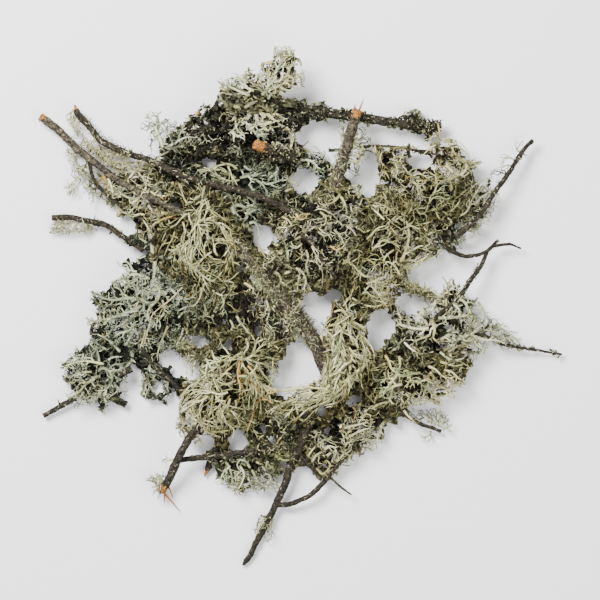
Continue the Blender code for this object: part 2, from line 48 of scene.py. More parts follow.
# Each twig: its route from the thick end, and the width at its first and last point.
TWIGS = {
    "thick_branch": (
        [(21, -49, 9), (11, -26, 10), (0, -10, 11), (-11, 4, 12), (-27, 23, 14), (-39, 39, 15), (-48, 49, 16)],
        (10.5, 6.0),
    ),
    "upper_left_twig": (
        [(-182, 134, 7), (-168, 123, 8), (-158, 113, 10), (-148, 105, 12), (-126, 88, 16), (-105, 77, 20),
         (-78, 64, 23), (-56, 55, 23)],
        (6.3, 4.2),
    ),
    "upper_left_fork": (
        [(-148, 104, 11.5), (-144, 89, 12), (-133, 77, 13), (-119, 68, 14), (-98, 51, 15), (-88, 46, 15)],
        (2.9, 2.2),
    ),
    "long_top_twig": (
        [(0, 64, 30), (-27, 77, 26), (-56, 85, 24), (-84, 93, 22), (-105, 103, 19), (-119, 107, 16),
         (-130, 112, 14), (-140, 117, 12), (-147, 126, 11), (-155, 135, 10), (-158, 142, 9)],
        (4.8, 3.4),
    ),
    "left_twig": (
        [(-109, 40, 13), (-126, 51, 10), (-137, 58, 8), (-151, 61, 6), (-161, 63, 5), (-174, 63, 4)],
        (3.8, 3.2),
    ),
    "broken_top_twig": (
        [(18, 73, 13), (25, 89, 16), (30, 103, 19), (36, 124, 22.5), (40, 138, 25)],
        (8.2, 6.3),
    ),
    "level_top_twig": (
        [(-21, 140, 15), (7, 138, 14), (28, 135, 13), (56, 131, 12), (77, 128, 11), (99, 126, 10)],
        (8.0, 6.4),
    ),
    "thin_top_twig": (
        [(20, 110, 7), (32, 111, 8), (49, 113, 9), (70, 112, 10), (98, 107, 12), (116, 105, 13)],
        (2.6, 1.8),
    ),
    "orange_stub": ([(-4, 104, 22), (-18, 109, 27), (-32, 114, 31)], (8.6, 10.0)),
    "middle_twig": ([(0, 52, 35), (8, 45, 37), (13, 37, 38), (24, 22, 36)], (3.8, 3.0)),
    "upper_right_twig": (
        [(109, 49, 22), (126, 65, 19), (134, 77, 17), (140, 86, 15), (147, 95, 13), (153, 105, 11),
         (158, 112, 10), (163, 117, 9)],
        (3.6, 3.0),
    ),
    "right_twig": ([(100, 43, 16), (112, 37, 15), (119, 36, 14), (130, 39, 13), (139, 47, 12)], (3.2, 2.0)),
    "right_twig_fork": (
        [(131, 40, 12), (127, 30, 13), (119, 19, 16), (111, 7, 19), (93, -9, 24)],
        (2.8, 3.6),
    ),
    "right_twig_tip": ([(134, 42.5, 12.5), (144, 44, 10), (148, 44, 9), (155, 41, 8)], (2.2, 1.4)),
    "mossy_right_twig": ([(64, 20, 10), (77, 14, 11), (88, 10, 11), (99, 5, 10)], (6.0, 5.0)),
    "right_tip_twig": (
        [(104, -18, 15), (126, -19, 13), (140, -25, 10), (154, -28, 8), (168, -30, 6), (183.6, -33, 4)],
        (3.6, 2.0),
    ),
    "lower_right_twig": (
        [(62, -62, 14), (67, -68, 13), (74, -75, 11), (83, -81, 9), (91, -84, 7), (99, -87, 5)],
        (3.2, 2.4),
    ),
    "knobbly_twig": (
        [(-118, -43, 13), (-134, -51, 11), (-151, -59, 8), (-162, -66, 6), (-180, -76, 4)],
        (3.8, 2.8),
    ),
    "knobbly_twig_fork": ([(-146, -56.5, 9), (-138, -59.5, 7), (-132, -63, 6), (-122, -68, 5)], (3.6, 4.4)),
    "thin_lower_left_twig": (
        [(-112, -28, 14), (-105, -37, 12), (-98, -45, 10), (-90, -52, 8), (-82, -60, 6)],
        (2.6, 2.2),
    ),
    "mossy_left_twig": ([(-90, -19, 12), (-84, -26, 12), (-74, -33, 11), (-65, -38, 10)], (7.4, 6.0)),
    "splintered_twig": (
        [(-70, -82, 27), (-77, -91, 24), (-83, -101, 20), (-88, -112, 15), (-92, -121, 11), (-97, -129, 8)],
        (5.4, 6.4),
    ),
    "pointed_twig": (
        [(-46, -78, 7), (-52, -87, 6), (-57, -96, 5), (-62, -105, 4.5), (-64, -111, 4), (-67, -119, 3)],
        (5.8, 2.6),
    ),
    "level_bottom_twig": (
        [(-2, -100, 12), (-14, -98, 12), (-42, -102, 12), (-70, -105, 12.5), (-84, -107, 12)],
        (5.6, 4.6),
    ),
    "bottom_twig": (
        [(20, -48, 10), (12, -66, 15), (8, -75, 15), (-1, -100, 12), (-6, -108, 11), (-10, -121, 9),
         (-15.4, -135, 7), (-20.2, -145, 6), (-26.2, -156, 5), (-36, -175, 3), (-40.4, -181, 2)],
        (6.0, 2.4),
    ),
    "bottom_twig_fork": (
        [(-15, -138, 6.6), (-7, -138, 7), (0, -135, 8), (8, -131, 9), (15, -124, 10), (21, -117, 11),
         (28, -108, 12), (38, -97, 13)],
        (3.4, 2.8),
    ),
    "bottom_spike": ([(20, -118, 10.6), (30, -127, 9), (36, -131, 8)], (2.2, 1.2)),
    "bottom_side_twig": ([(-1, -101, 11.4), (6, -110, 15), (13, -116, 16)], (2.8, 2.0)),
    "pine_needle": ([(-82, 14, 37), (-91, 5, 38), (-102, -4, 38.5), (-105, -12, 38), (-109, -26, 37)], (1.2, 0.9)),
}
MOSSY_TWIGS = ("mossy_right_twig", "mossy_left_twig")
GREY_BROWN_TWIGS = ("upper_left_twig", "thick_branch", "broken_top_twig")

# Twigs that look thicker from above than their solids: the widths that their bark gets.
BARK_WIDTHS = {
    "bottom_twig": (7.4, 4.6), "pointed_twig": (7.6, 5.4), "pine_needle": (1.0, 0.8), "orange_stub": (8.0, 7.4),
    "broken_top_twig": (9.6, 7.6), "splintered_twig": (5.8, 6.8), "lower_right_twig": (3.2, 3.0),
    "thick_branch": (12.0, 7.0), "bottom_twig_fork": (4.2, 3.6), "right_twig": (3.6, 2.6), "right_twig_tip": (2.6, 1.8),
    "left_twig": (4.8, 4.4), "long_top_twig": (5.0, 5.2), "upper_right_twig": (4.0, 3.6), "right_twig_fork": (3.4, 4.0),
    "thin_lower_left_twig": (4.6, 4.0), "knobbly_twig": (5.0, 4.0), "knobbly_twig_fork": (4.6, 5.6),
}

# Twigs that end in a point, and the share of the length where it starts.
POINTED = {"pointed_twig": 0.82, "bottom_twig": 0.965, "long_top_twig": 0.97}

# Spurs, knots and splinters: the twig, the foot, the tip, the width of the foot, and whether it is bare wood.
SPURS = (
    ("broken_top_twig", (41, 137, 25), (44.5, 145.5, 27), 1.7, True),
    ("broken_top_twig", (38, 137, 24), (38.5, 142, 25), 2.2, True),
    ("upper_left_twig", (-170, 124.5, 8), (-170, 129.5, 11), 2.0, False),
    ("upper_left_twig", (-180, 133, 7), (-183, 130, 6), 3.4, False),
    ("splintered_twig", (-97, -128, 8), (-84, -143, 3), 2.0, True),
    ("splintered_twig", (-95, -125, 9), (-95, -138, 5), 1.6, True),
    ("splintered_twig", (-93, -123, 9), (-89, -134, 5), 1.7, True),
    ("splintered_twig", (-97, -128, 8), (-100, -135, 5), 1.3, False),
    ("level_top_twig", (52, 131, 12), (50, 137, 13), 2.4, False),
    ("thick_branch", (-4, -5, 13), (4, 2, 19), 3.6, False),
    ("bottom_twig", (-23, -148, 6), (-28, -145, 8), 1.8, False),
    ("bottom_twig", (-12, -125, 8), (-7.5, -124, 10), 1.8, False),
    ("knobbly_twig", (-168, -69, 6), (-170, -64, 7), 2.2, False),
    ("knobbly_twig", (-158, -63.5, 7), (-155, -68, 7), 2.2, False),
    ("upper_right_twig", (155, 108, 10.5), (159.5, 106, 12), 1.6, False),
    ("long_top_twig", (-143, 120, 11.5), (-139, 124, 14), 1.8, False),
    ("left_twig", (-145, 60, 7), (-143, 65, 9), 1.6, False),
)

# Which end of a twig shows its broken wood, 0 for the first and -1 for the last, and how far it is bare.
BROKEN_ENDS = {
    "upper_left_twig": (0, 4.0),
    "long_top_twig": (-1, 3.0),
    "broken_top_twig": (-1, 5.5),
    "level_top_twig": (-1, 0.6),
    "orange_stub": (-1, 9.0),
    "knobbly_twig_fork": (-1, 2.0),
    "splintered_twig": (-1, 6.0),
    "pointed_twig": (-1, 5.0),
    "upper_right_twig": (-1, 0.8),
}


class Kind:
    """How one sort of lichen grows: all lengths in millimetres, all angles in degrees."""

    def __init__(self, width, step, steps, orders, angle, curl, taper, tip, thick, droop, twist, rise, sprout):
        self.width = width
        self.step = step
        self.steps = steps
        self.orders = orders
        self.angle = math.radians(angle)
        self.curl = math.radians(curl)
        self.taper = taper
        self.tip = tip
        self.thick = thick
        self.droop = droop
        self.twist = math.radians(twist)
        self.rise = rise
        self.sprout = sprout


ANTLER = Kind(1.8, 1.4, (2, 3), 4, 38, 16, 0.82, 0.5, 0.16, 0.10, 24, 0.03, 2.8)
BROAD = Kind(1.6, 1.4, (2, 3), 4, 36, 20, 0.85, 0.55, 0.14, 0.12, 34, 0.05, 2.6)
RIBBON = Kind(1.15, 2.0, (2, 4), 3, 30, 18, 0.88, 0.4, 0.20, 0.08, 35, 0.02, 3.2)
FLOWING = Kind(1.4, 2.2, (2, 5), 3, 17, 10, 0.9, 0.35, 0.20, 0.08, 30, 0.0, 3.6)
FINE = Kind(0.92, 1.4, (1, 3), 4, 38, 32, 0.88, 0.55, 0.30, 0.0, 60, 0.03, 2.5)
LEAFY = Kind(2.1, 1.2, (1, 2), 3, 45, 34, 0.95, 0.85, 0.12, -0.30, 60, 0.18, 2.4)
# Low dark lobes: partly old growth, partly painted shade that fills the gaps in the tangle.
OLD_AND_SHADE = Kind(2.8, 2.7, (2, 4), 2, 45, 30, 0.9, 0.5, 0.1, 0.1, 60, 0.0, 9.0)
MOSSY = Kind(0.9, 1.5, (1, 3), 3, 40, 30, 0.85, 0.4, 0.5, 0.0, 60, 0.35, 3.0)

# Each lichen: its finish, the kinds that it is made of with the share of each, and its number of triangles.
LICHENS = {
    "pale_top_tuft": ("pale_lichen", ((BROAD, 0.6), (FINE, 0.4)), 28000),
    "leafy_top_crust": ("leafy_crust", ((BROAD, 0.1), (LEAFY, 0.65), (FINE, 0.25)), 66000),
    "grey_top_lichen": ("grey_lichen", ((ANTLER, 0.6), (FINE, 0.4)), 66000),
    "upper_left_sprig": ("grey_lichen", ((BROAD, 1.0),), 900),
    "upper_left_fringe": ("bushy_lichen", ((BROAD, 0.5), (FINE, 0.5)), 12000),
    "fine_left_mat": ("bushy_lichen", ((FINE, 0.75), (RIBBON, 0.25)), 46000),
    "left_tip_tuft": ("pale_lichen", ((BROAD, 0.6), (FINE, 0.4)), 10000),
    "straw_left_tuft": ("straw_lichen", ((FLOWING, 0.35), (RIBBON, 0.35), (FINE, 0.3)), 54000),
    "grey_left_lichen": ("grey_lichen", ((ANTLER, 0.65), (FINE, 0.35)), 84000),
    "lower_left_lichen": ("grey_lichen", ((ANTLER, 0.6), (FINE, 0.4)), 34000),
    "left_middle_mat": ("bushy_lichen", ((FINE, 0.7), (RIBBON, 0.3)), 42000),
    "middle_bush": ("bushy_lichen", ((FINE, 0.75), (RIBBON, 0.25)), 66000),
    "upper_right_clump": ("straw_lichen", ((RIBBON, 0.4), (FINE, 0.6)), 56000),
    "right_clump": ("pale_lichen", ((BROAD, 0.3), (FINE, 0.7)), 46000),
    "right_middle_clump": ("straw_lichen", ((RIBBON, 0.5), (FINE, 0.5)), 58000),
    "broken_twig_tuft": ("pale_lichen", ((BROAD, 0.5), (FINE, 0.5)), 6000),
    "level_twig_nub": ("leafy_crust", ((LEAFY, 0.8), (FINE, 0.2)), 6000),
    "upper_right_tufts": ("grey_lichen", ((BROAD, 1.0),), 3000),
    "straw_hanging_tuft": ("straw_lichen", ((FLOWING, 0.85), (FINE, 0.15)), 56000),
    "lower_left_fan": ("straw_lichen", ((FLOWING, 0.4), (RIBBON, 0.3), (FINE, 0.3)), 78000),
    "dark_moss": ("dark_moss", ((MOSSY, 0.5), (FINE, 0.5)), 30000),
    "bottom_tuft": ("pale_lichen", ((BROAD, 0.2), (FINE, 0.8)), 22000),
    "lower_right_mat": ("bushy_lichen", ((FINE, 0.6), (BROAD, 0.4)), 42000),
    "lower_right_upper_clump": ("pale_lichen", ((ANTLER, 0.3), (BROAD, 0.3), (FINE, 0.4)), 46000),
    "lower_right_clump": ("straw_lichen", ((BROAD, 0.4), (FINE, 0.6)), 44000),
    "right_tip_tuft": ("pale_lichen", ((BROAD, 0.3), (FINE, 0.7)), 12000),
    "lower_right_fuzz": ("bushy_lichen", ((BROAD, 0.4), (FINE, 0.6)), 3000),
    "splintered_twig_tufts": ("pale_lichen", ((BROAD, 0.7), (FINE, 0.3)), 1500),
    "bottom_twig_tuft": ("pale_lichen", ((BROAD, 0.4), (FINE, 0.6)), 2500),
    "thin_lower_left_tufts": ("grey_lichen", ((BROAD, 0.7), (FINE, 0.3)), 9000),
    "thick_branch_tuft": ("bushy_lichen", ((FINE, 0.8), (RIBBON, 0.2)), 12000),
}

# The lobes that stand out in the photo: the width in millimetres, then points from root to tip
# in pixels of the 600-pixel photo. Everything between them grows by itself.
STRANDS = {
    "upper_right_tufts": (
        (1.6, 516, 160, 510, 158, 504, 158),
        (1.6, 512, 166, 507, 165, 502, 168),
        (1.6, 520, 152, 517, 150, 519, 146),
    ),
    "grey_left_lichen": (
        (4.6, 149, 228, 151, 238, 152, 250, 154, 260, 155, 268, 154, 278, 151, 288),
        (2.6, 155, 266, 162, 274, 170, 279, 176, 280),
        (3.2, 157, 256, 165, 258, 172, 257, 176, 250, 181, 253, 184, 262),
        (2.6, 176, 250, 174, 258, 176, 268, 179, 276),
        (3.4, 151, 288, 147, 297, 144, 306, 146, 316, 150, 322),
        (3.6, 150, 304, 140, 299, 128, 298, 114, 300, 103, 298, 94, 293),
        (3.8, 142, 306, 131, 311, 119, 316, 108, 319, 97, 321, 89, 321),
        (2.6, 138, 312, 130, 318, 121, 325, 113, 329, 107, 336),
        (3.2, 150, 279, 142, 276, 134, 274, 127, 277, 120, 280),
        (2.6, 137, 272, 129, 270, 121, 266, 117, 261),
        (2.4, 133, 271, 130, 265, 126, 261),
        (3, 157, 284, 160, 292, 158, 300, 150, 308, 147, 316),
        (2.6, 160, 276, 159, 286, 164, 296),
        (3.2, 164, 296, 170, 289, 177, 295, 186, 299, 194, 297),
        (2.4, 200, 300, 194, 305, 186, 307, 178, 311),
        (2.4, 200, 320, 194, 310, 189, 303, 183, 299),
        (2.2, 183, 328, 181, 336, 176, 346),
        (2.6, 125, 346, 130, 338, 134, 330, 131, 322),
        (2.6, 150, 246, 144, 241, 139, 238),
        (2, 146, 256, 140, 258, 136, 259),
        (2.4, 163, 300, 165, 310, 161, 318, 156, 324),
        (2.6, 202, 322, 206, 312, 204, 302, 208, 294),
        (2.4, 212, 318, 216, 308, 222, 300),
        (2.6, 120, 352, 113, 344, 105, 338, 97, 334),
        (2.4, 108, 350, 100, 346, 94, 341),
        (2.2, 124, 300, 122, 292, 117, 285, 114, 281),
        (2.2, 138, 300, 136, 290, 132, 284, 128, 284),
        (2.4, 147, 300, 143, 290, 143, 280),
        (3, 160, 262, 167, 268, 172, 276, 174, 286),
        (2.6, 186, 262, 190, 272, 186, 282, 180, 286),
        (3, 137, 325, 128, 331, 120, 333, 113, 338),
        (2.2, 146, 330, 143, 340, 140, 348),
        (2.4, 168, 326, 164, 335, 160, 345, 157, 356),
        (2.6, 196, 284, 192, 292, 197, 301),
        (2.8, 214, 296, 208, 301, 200, 299),
    ),
    "lower_left_lichen": (
        (3.4, 98, 371, 103, 368, 109, 371, 112, 377, 110, 384, 106, 390),
        (3, 110, 376, 115, 371, 121, 371, 127, 372),
        (3.2, 98, 376, 90, 381, 84, 386, 78, 393, 70, 398),
        (2.8, 104, 364, 94, 362, 84, 361, 74, 363, 65, 366),
        (2.8, 106, 388, 104, 396, 106, 404),
        (2.6, 114, 384, 119, 389, 124, 392),
        (2.4, 99, 362, 98, 354, 96, 346, 98, 340),
        (2.4, 98, 352, 92, 346, 88, 342),
        (2.2, 86, 362, 79, 358, 72, 357),
        (2.4, 92, 372, 84, 372, 76, 374, 70, 378),
        (2.2, 88, 384, 82, 380, 76, 380),
        (2.4, 120, 364, 126, 368, 131, 372),
        (2.2, 96, 392, 92, 398, 88, 402),
        (2.4, 100, 388, 98, 396, 94, 402),
        (2.4, 84, 392, 78, 400, 76, 404),
        (2.2, 108, 360, 114, 357, 122, 357),
        (2.4, 117, 378, 121, 382, 127, 380),
        (5, 127, 343, 132, 352, 130, 362, 125, 368),
    ),
    "grey_top_lichen": (
        (3, 224, 158, 228, 153, 236, 152, 244, 154, 250, 158),
        (3, 262, 168, 266, 164, 270, 160, 278, 158, 288, 157, 296, 159, 300, 163),
        (3, 240, 178, 248, 176, 256, 175, 264, 172, 270, 167),
        (2.8, 268, 180, 274, 174, 278, 170, 276, 165),
        (3, 250, 185, 254, 192, 258, 198),
        (2.8, 262, 182, 268, 184, 276, 182, 282, 180),
        (2.8, 277, 188, 284, 190, 288, 196, 286, 204, 280, 208),
        (2.6, 290, 184, 286, 190, 284, 198),
        (2.6, 256, 180, 262, 184, 266, 190),
        (2.6, 286, 206, 292, 200, 294, 192, 290, 186),
        (3, 300, 160, 308, 160, 314, 163, 318, 168),
        (2.6, 294, 158, 296, 152, 302, 149, 308, 150, 311, 154, 308, 158),
        (1.8, 302, 148, 305, 144, 309, 141),
        (2.2, 322, 158, 320, 152, 316, 147, 313, 146),
        (4.8, 232, 207, 235, 216, 238, 224, 241, 232, 243, 240),
        (3, 235, 214, 228, 210, 222, 207),
        (3, 236, 222, 228, 221, 222, 224),
        (3, 239, 228, 234, 234, 229, 240),
        (3, 240, 222, 246, 226, 252, 232),
        (3.6, 232, 207, 238, 205, 244, 207, 248, 212, 246, 220),
        (2.8, 248, 224, 254, 222, 258, 228, 259, 238),
        (3.4, 213, 204, 213, 211, 216, 217),
        (2.6, 222, 200, 226, 196, 232, 196),
        (3, 250, 212, 258, 209, 264, 211, 270, 212),
        (3, 266, 216, 272, 220, 268, 226),
        (2.4, 282, 214, 274, 216, 268, 219),
        (2.6, 262, 204, 256, 206, 250, 205),
        (2.6, 206, 196, 212, 192, 220, 191, 228, 194, 232, 200),
        (2.4, 244, 166, 250, 170, 256, 168),
        (2.6, 294, 172, 290, 178, 286, 184),
        (2.6, 276, 210, 282, 206, 288, 208, 292, 212),
        (2.4, 246, 196, 252, 200, 258, 206),
        (2.4, 299, 186, 294, 182, 288, 182),
        (2.8, 248, 160, 254, 164, 260, 162, 268, 160),
    ),
    "straw_left_tuft": (
        (3.6, 236, 178, 228, 173, 220, 170, 210, 170, 202, 172),
        (3, 238, 170, 232, 165, 226, 164, 218, 166, 208, 169),
        (3, 240, 180, 232, 181, 224, 180, 218, 177),
        (2.4, 228, 166, 231, 174, 233, 182),
        (3.4, 205, 186, 203, 194, 202, 202, 201, 210, 200, 218, 199, 226),
        (3.4, 201, 221, 208, 220, 215, 222, 221, 227, 226, 234, 230, 240, 233, 247),
        (2.8, 233, 246, 232, 253, 229, 260, 224, 264, 218, 266),
        (2.6, 222, 230, 226, 237, 228, 244),
        (3, 206, 229, 202, 235, 199, 242, 195, 250, 190, 256, 185, 261),
        (2.6, 196, 232, 192, 240, 190, 248),
        (2.4, 206, 222, 208, 230, 207, 238),
        (2.4, 207, 239, 214, 239, 222, 239, 226, 241),
        (2.4, 187, 262, 192, 268, 199, 272, 206, 278, 212, 281, 218, 277, 222, 272),
        (3.2, 186, 258, 190, 264, 196, 270, 203, 277),
        (2.2, 204, 262, 202, 267, 206, 271, 210, 268, 208, 262),
        (2.4, 183, 222, 185, 230, 184, 240, 183, 248),
        (2.4, 189, 213, 190, 220, 194, 225, 200, 225),
        (2.2, 196, 205, 200, 202, 202, 207, 199, 212, 195, 210),
        (2.4, 188, 205, 184, 198, 182, 192, 180, 188),
        (2.2, 206, 214, 209, 208, 208, 200),
        (2.2, 210, 216, 214, 212, 219, 216),
        (2.6, 228, 262, 222, 262, 214, 262),
        (2.4, 232, 262, 238, 264, 240, 266),
        (2.6, 222, 282, 228, 281, 234, 284, 230, 288),
        (2.2, 218, 256, 214, 250, 216, 244, 222, 242),
        (2.2, 224, 256, 228, 250, 230, 246),
        (2.6, 205, 283, 202, 290, 200, 298, 196, 304),
        (2.2, 175, 232, 172, 240, 168, 246),
        (2.2, 190, 238, 186, 246, 180, 250),
        (2.4, 206, 258, 204, 250, 206, 243),
        (2.2, 212, 252, 206, 256, 200, 262),
        (2.2, 198, 196, 194, 200, 190, 198),
        (2.6, 186, 215, 181, 219, 176, 225, 170, 228),
        (2.4, 174, 216, 166, 218, 158, 222),
    ),
    "fine_left_mat": (
        (2.4, 132, 203, 138, 199, 143, 193, 146, 186, 143, 179, 138, 172),
        (2.6, 118, 190, 122, 194, 127, 197, 134, 199, 140, 197),
        (2.4, 128, 214, 133, 209, 137, 204, 140, 200),
        (4, 103, 175, 106, 182, 108, 190),
        (3, 108, 178, 111, 186, 113, 194),
        (2.4, 114, 194, 119, 194, 122, 190),
        (2.2, 150, 191, 156, 195, 164, 196, 171, 194, 175, 189),
        (2.4, 166, 166, 160, 162, 152, 164, 146, 168, 140, 166),
        (2.2, 137, 160, 141, 156, 145, 160, 148, 166),
        (2, 160, 168, 156, 174, 150, 180),
        (2.2, 178, 182, 184, 186, 190, 188, 196, 188),
        (2.2, 120, 168, 127, 165, 134, 163),
        (2.2, 129, 178, 134, 172, 138, 168),
        (2.2, 148, 205, 152, 212, 150, 220),
        (2.2, 140, 218, 146, 224, 150, 232),
        (2, 162, 228, 158, 220, 160, 212),
        (2.4, 165, 233, 170, 226, 168, 218),
        (2.2, 117, 214, 122, 212, 128, 214),
        (2, 136, 185, 142, 186, 148, 184),
        (2, 154, 186, 160, 182, 168, 184),
        (2.2, 145, 215, 139, 214, 133, 217),
    ),
    "upper_left_sprig": (
        (3.4, 163, 148, 161, 141, 158, 134, 155, 127, 152, 121, 150, 118),
        (2.8, 157, 131, 159, 123, 157, 116),
        (2.2, 158, 124, 163, 124),
        (3, 163, 147, 165, 139, 167, 132, 171, 127),
        (2.4, 168, 132, 163, 130),
        (2.4, 155, 126, 150, 126, 146, 126),
        (2.6, 163, 147, 170, 149, 178, 147, 184, 146, 192, 145),
        (2.6, 166, 148, 174, 144, 180, 140, 188, 137, 195, 138),
        (2.4, 178, 142, 180, 134, 183, 130),
        (2.4, 170, 150, 164, 154, 158, 157),
    ),
    "upper_left_fringe": (
        (2.2, 113, 167, 108, 162, 102, 155, 95, 148, 87, 141),
        (2.0, 97, 153, 93, 148, 87, 145),
        (2.0, 133, 163, 123, 162, 113, 162, 103, 162, 98, 155),
        (2.0, 130, 158, 123, 157, 113, 155, 102, 153),
        (2.2, 143, 183, 140, 177, 133, 170, 125, 167, 117, 167),
        (2.0, 147, 188, 145, 178, 137, 173, 127, 172),
        (2.0, 87, 167, 78, 167, 75, 162, 72, 155),
        (2.0, 85, 172, 78, 177, 72, 183, 71, 190),
        (1.8, 88, 173, 85, 182, 92, 190, 93, 200),
        (2.2, 95, 178, 100, 187, 103, 193, 110, 200, 120, 207),
        (2.4, 77, 111, 72, 117, 71, 125, 76, 132),
        (2.2, 76, 108, 71, 112, 70, 119),
        (2.2, 80, 120, 77, 126, 79, 133),
        (2.0, 79, 116, 75, 121, 74, 128),
        (1.8, 112, 148, 106, 142, 99, 140),
        (1.8, 120, 152, 112, 149, 105, 147),
        (1.8, 128, 156, 122, 151, 116, 150),
        (2, 90, 172, 84, 174, 78, 178, 72, 182, 69, 186),
        (1.6, 76, 180, 73, 188, 71, 192),
        (1.8, 86, 180, 82, 184, 86, 189),
        (2, 84, 168, 78, 166, 74, 162, 72, 156, 69, 152),
        (1.8, 90, 184, 92, 192, 93, 201),
        (1.6, 95, 188, 96, 196, 99, 199),
        (1.8, 82, 172, 74, 170),
        (2.2, 99, 145, 97, 150, 94, 152, 90, 146, 86, 142),
        (2.2, 110, 162, 106, 156, 100, 152, 94, 152),
        (2, 98, 146, 104, 150, 112, 152, 118, 156),
        (2.2, 100, 158, 108, 160, 114, 164),
        (2.2, 93, 160, 88, 166, 86, 172),
    ),
    "left_tip_tuft": (
        (1.8, 62, 219, 58, 224, 53, 228),
        (1.8, 66, 220, 64, 226, 60, 230, 53, 231),
        (1.8, 72, 221, 68, 227, 66, 234),
        (1.8, 78, 222, 74, 228, 70, 232, 68, 236),
        (1.8, 84, 223, 80, 228, 76, 231),
        (1.8, 88, 224, 85, 229, 81, 230),
    ),
    "leafy_top_crust": (
        (3.2, 233, 122, 236, 115, 241, 111, 246, 110, 249, 113),
        (2.6, 245, 110, 248, 106, 252, 104),
        (3.2, 250, 112, 248, 118, 244, 123, 240, 126),
        (3, 258, 111, 262, 114, 268, 115, 276, 114, 281, 117),
        (2.6, 268, 115, 272, 119, 276, 121),
        (3, 256, 112, 257, 120, 261, 126, 266, 128),
        (3.4, 232, 132, 236, 136, 241, 137),
        (2.8, 262, 111, 261, 106),
        (2.8, 272, 123, 266, 124, 263, 130),
        (3, 246, 126, 252, 130, 258, 135),
        (3.4, 286, 128, 291, 134, 292, 142, 290, 150),
        (2.6, 240, 120, 236, 126, 237, 130),
    ),
    "pale_top_tuft": (
        (3.2, 262, 96, 268, 88, 272, 80, 276, 72, 281, 64, 284, 58),
        (2.6, 284, 60, 290, 56, 295, 56),
        (2.4, 283, 58, 285, 52, 287, 49),
        (2.4, 279, 66, 276, 60, 278, 54, 275, 52),
        (3, 272, 90, 280, 86, 288, 82, 296, 80),
        (3, 276, 84, 284, 90, 292, 91, 299, 88),
        (3, 284, 80, 288, 74, 290, 68, 294, 65),
        (3, 262, 92, 256, 86, 250, 82, 246, 79),
        (3, 254, 92, 246, 88, 240, 82, 238, 78),
        (3, 250, 96, 240, 92, 231, 88, 224, 84),
        (2.8, 240, 96, 230, 95, 222, 93, 219, 96),
        (2.6, 236, 90, 230, 85, 228, 82),
        (2.6, 226, 91, 219, 88),
        (2.8, 268, 100, 272, 94, 280, 94, 284, 98),
        (2.6, 258, 84, 262, 78, 266, 74),
        (2.6, 268, 80, 268, 73, 270, 68),
        (2.6, 290, 84, 297, 76, 300, 78),
    ),
    "broken_twig_tuft": (
        (3, 352, 150, 357, 144, 361, 138, 363, 132),
        (3, 356, 148, 362, 149, 368, 150),
        (2.6, 354, 154, 360, 157, 366, 160),
        (2.8, 352, 146, 356, 140, 358, 134),
        (2.6, 356, 152, 363, 155, 369, 158),
        (3, 350, 160, 356, 162, 362, 162),
        (2.4, 347, 142, 344, 136, 342, 129),
        (2.4, 346, 144, 342, 141, 341, 135),
        (2.4, 357, 142, 362, 146, 364, 152),
        (2.2, 360, 160, 356, 163, 352, 162),
    ),
    "upper_right_clump": (
        (2, 438, 124, 439, 131, 440, 138, 446, 141, 450, 146, 454, 152, 456, 157),
        (1.8, 440, 138, 434, 136, 429, 139),
        (2, 452, 143, 458, 146, 463, 150, 468, 155),
        (1.8, 455, 140, 461, 144, 466, 149, 469, 154),
        (1.8, 468, 156, 471, 162, 478, 165),
        (1.8, 436, 145, 430, 148, 426, 152, 422, 156),
        (2, 456, 158, 462, 162, 468, 166, 470, 172),
        (4, 446, 166, 452, 172, 459, 175, 465, 171, 466, 164),
        (2.4, 404, 150, 402, 156, 399, 162),
        (2.2, 382, 152, 380, 158, 382, 164),
        (2.2, 392, 152, 395, 158, 398, 166, 396, 174),
        (2.6, 388, 190, 384, 196, 381, 203),
        (2.6, 390, 191, 394, 189, 400, 192),
        (2.4, 407, 172, 412, 176, 418, 174, 424, 176),
        (2.6, 412, 182, 418, 186, 420, 190),
        (2.2, 432, 196, 435, 190, 437, 185),
        (2.2, 428, 204, 433, 198, 440, 197, 446, 200),
        (2.2, 408, 214, 412, 206, 410, 200),
        (2.4, 452, 190, 450, 182, 446, 178),
        (2.2, 424, 170, 430, 166, 436, 168),
        (2.2, 388, 176, 384, 172, 381, 176),
        (2.4, 416, 208, 420, 214, 426, 212),
        (2.2, 440, 220, 436, 212, 438, 206),
        (2, 450, 212, 456, 206, 460, 200),
    ),
    "right_clump": (
        (2, 475, 205, 480, 198, 486, 194, 492, 190),
        (2, 468, 210, 472, 200, 478, 190, 482, 182),
        (2, 484, 206, 490, 204, 495, 202),
        (2, 480, 214, 486, 216, 490, 222),
        (2, 476, 218, 478, 226, 474, 232),
        (2, 465, 198, 470, 190, 476, 184, 484, 180, 487, 183),
        (1.8, 460, 216, 466, 212, 470, 205),
    ),
    "right_middle_clump": (
        (4.4, 400, 262, 404, 254, 407, 245, 409, 236, 408, 228, 406, 220),
        (3.4, 410, 240, 418, 238, 426, 236, 434, 232),
        (3.4, 400, 261, 410, 260, 420, 262, 430, 259, 438, 254),
        (3.6, 398, 264, 406, 268, 414, 268, 420, 264),
        (3, 404, 252, 412, 250, 420, 246, 428, 246),
        (2.6, 382, 292, 379, 286, 378, 280),
        (2.8, 360, 295, 366, 292, 372, 296, 380, 297, 386, 294),
        (2.8, 352, 303, 360, 303, 368, 306, 378, 306, 386, 302, 390, 297),
        (2.6, 364, 288, 368, 294, 373, 299),
        (2.6, 372, 286, 376, 292, 382, 296),
        (2.6, 386, 284, 388, 290, 384, 298),
        (2.8, 366, 284, 372, 282, 379, 279, 386, 276),
        (2.6, 362, 262, 368, 260, 374, 264, 376, 270),
        (2.6, 358, 270, 364, 276, 372, 277),
        (3, 364, 208, 370, 206, 376, 206, 384, 208, 389, 204),
        (2.8, 386, 214, 388, 206, 386, 198, 383, 193),
        (2.8, 390, 214, 393, 206, 392, 198, 389, 191),
        (2.8, 384, 220, 376, 212, 370, 207),
        (2.6, 392, 220, 398, 214),
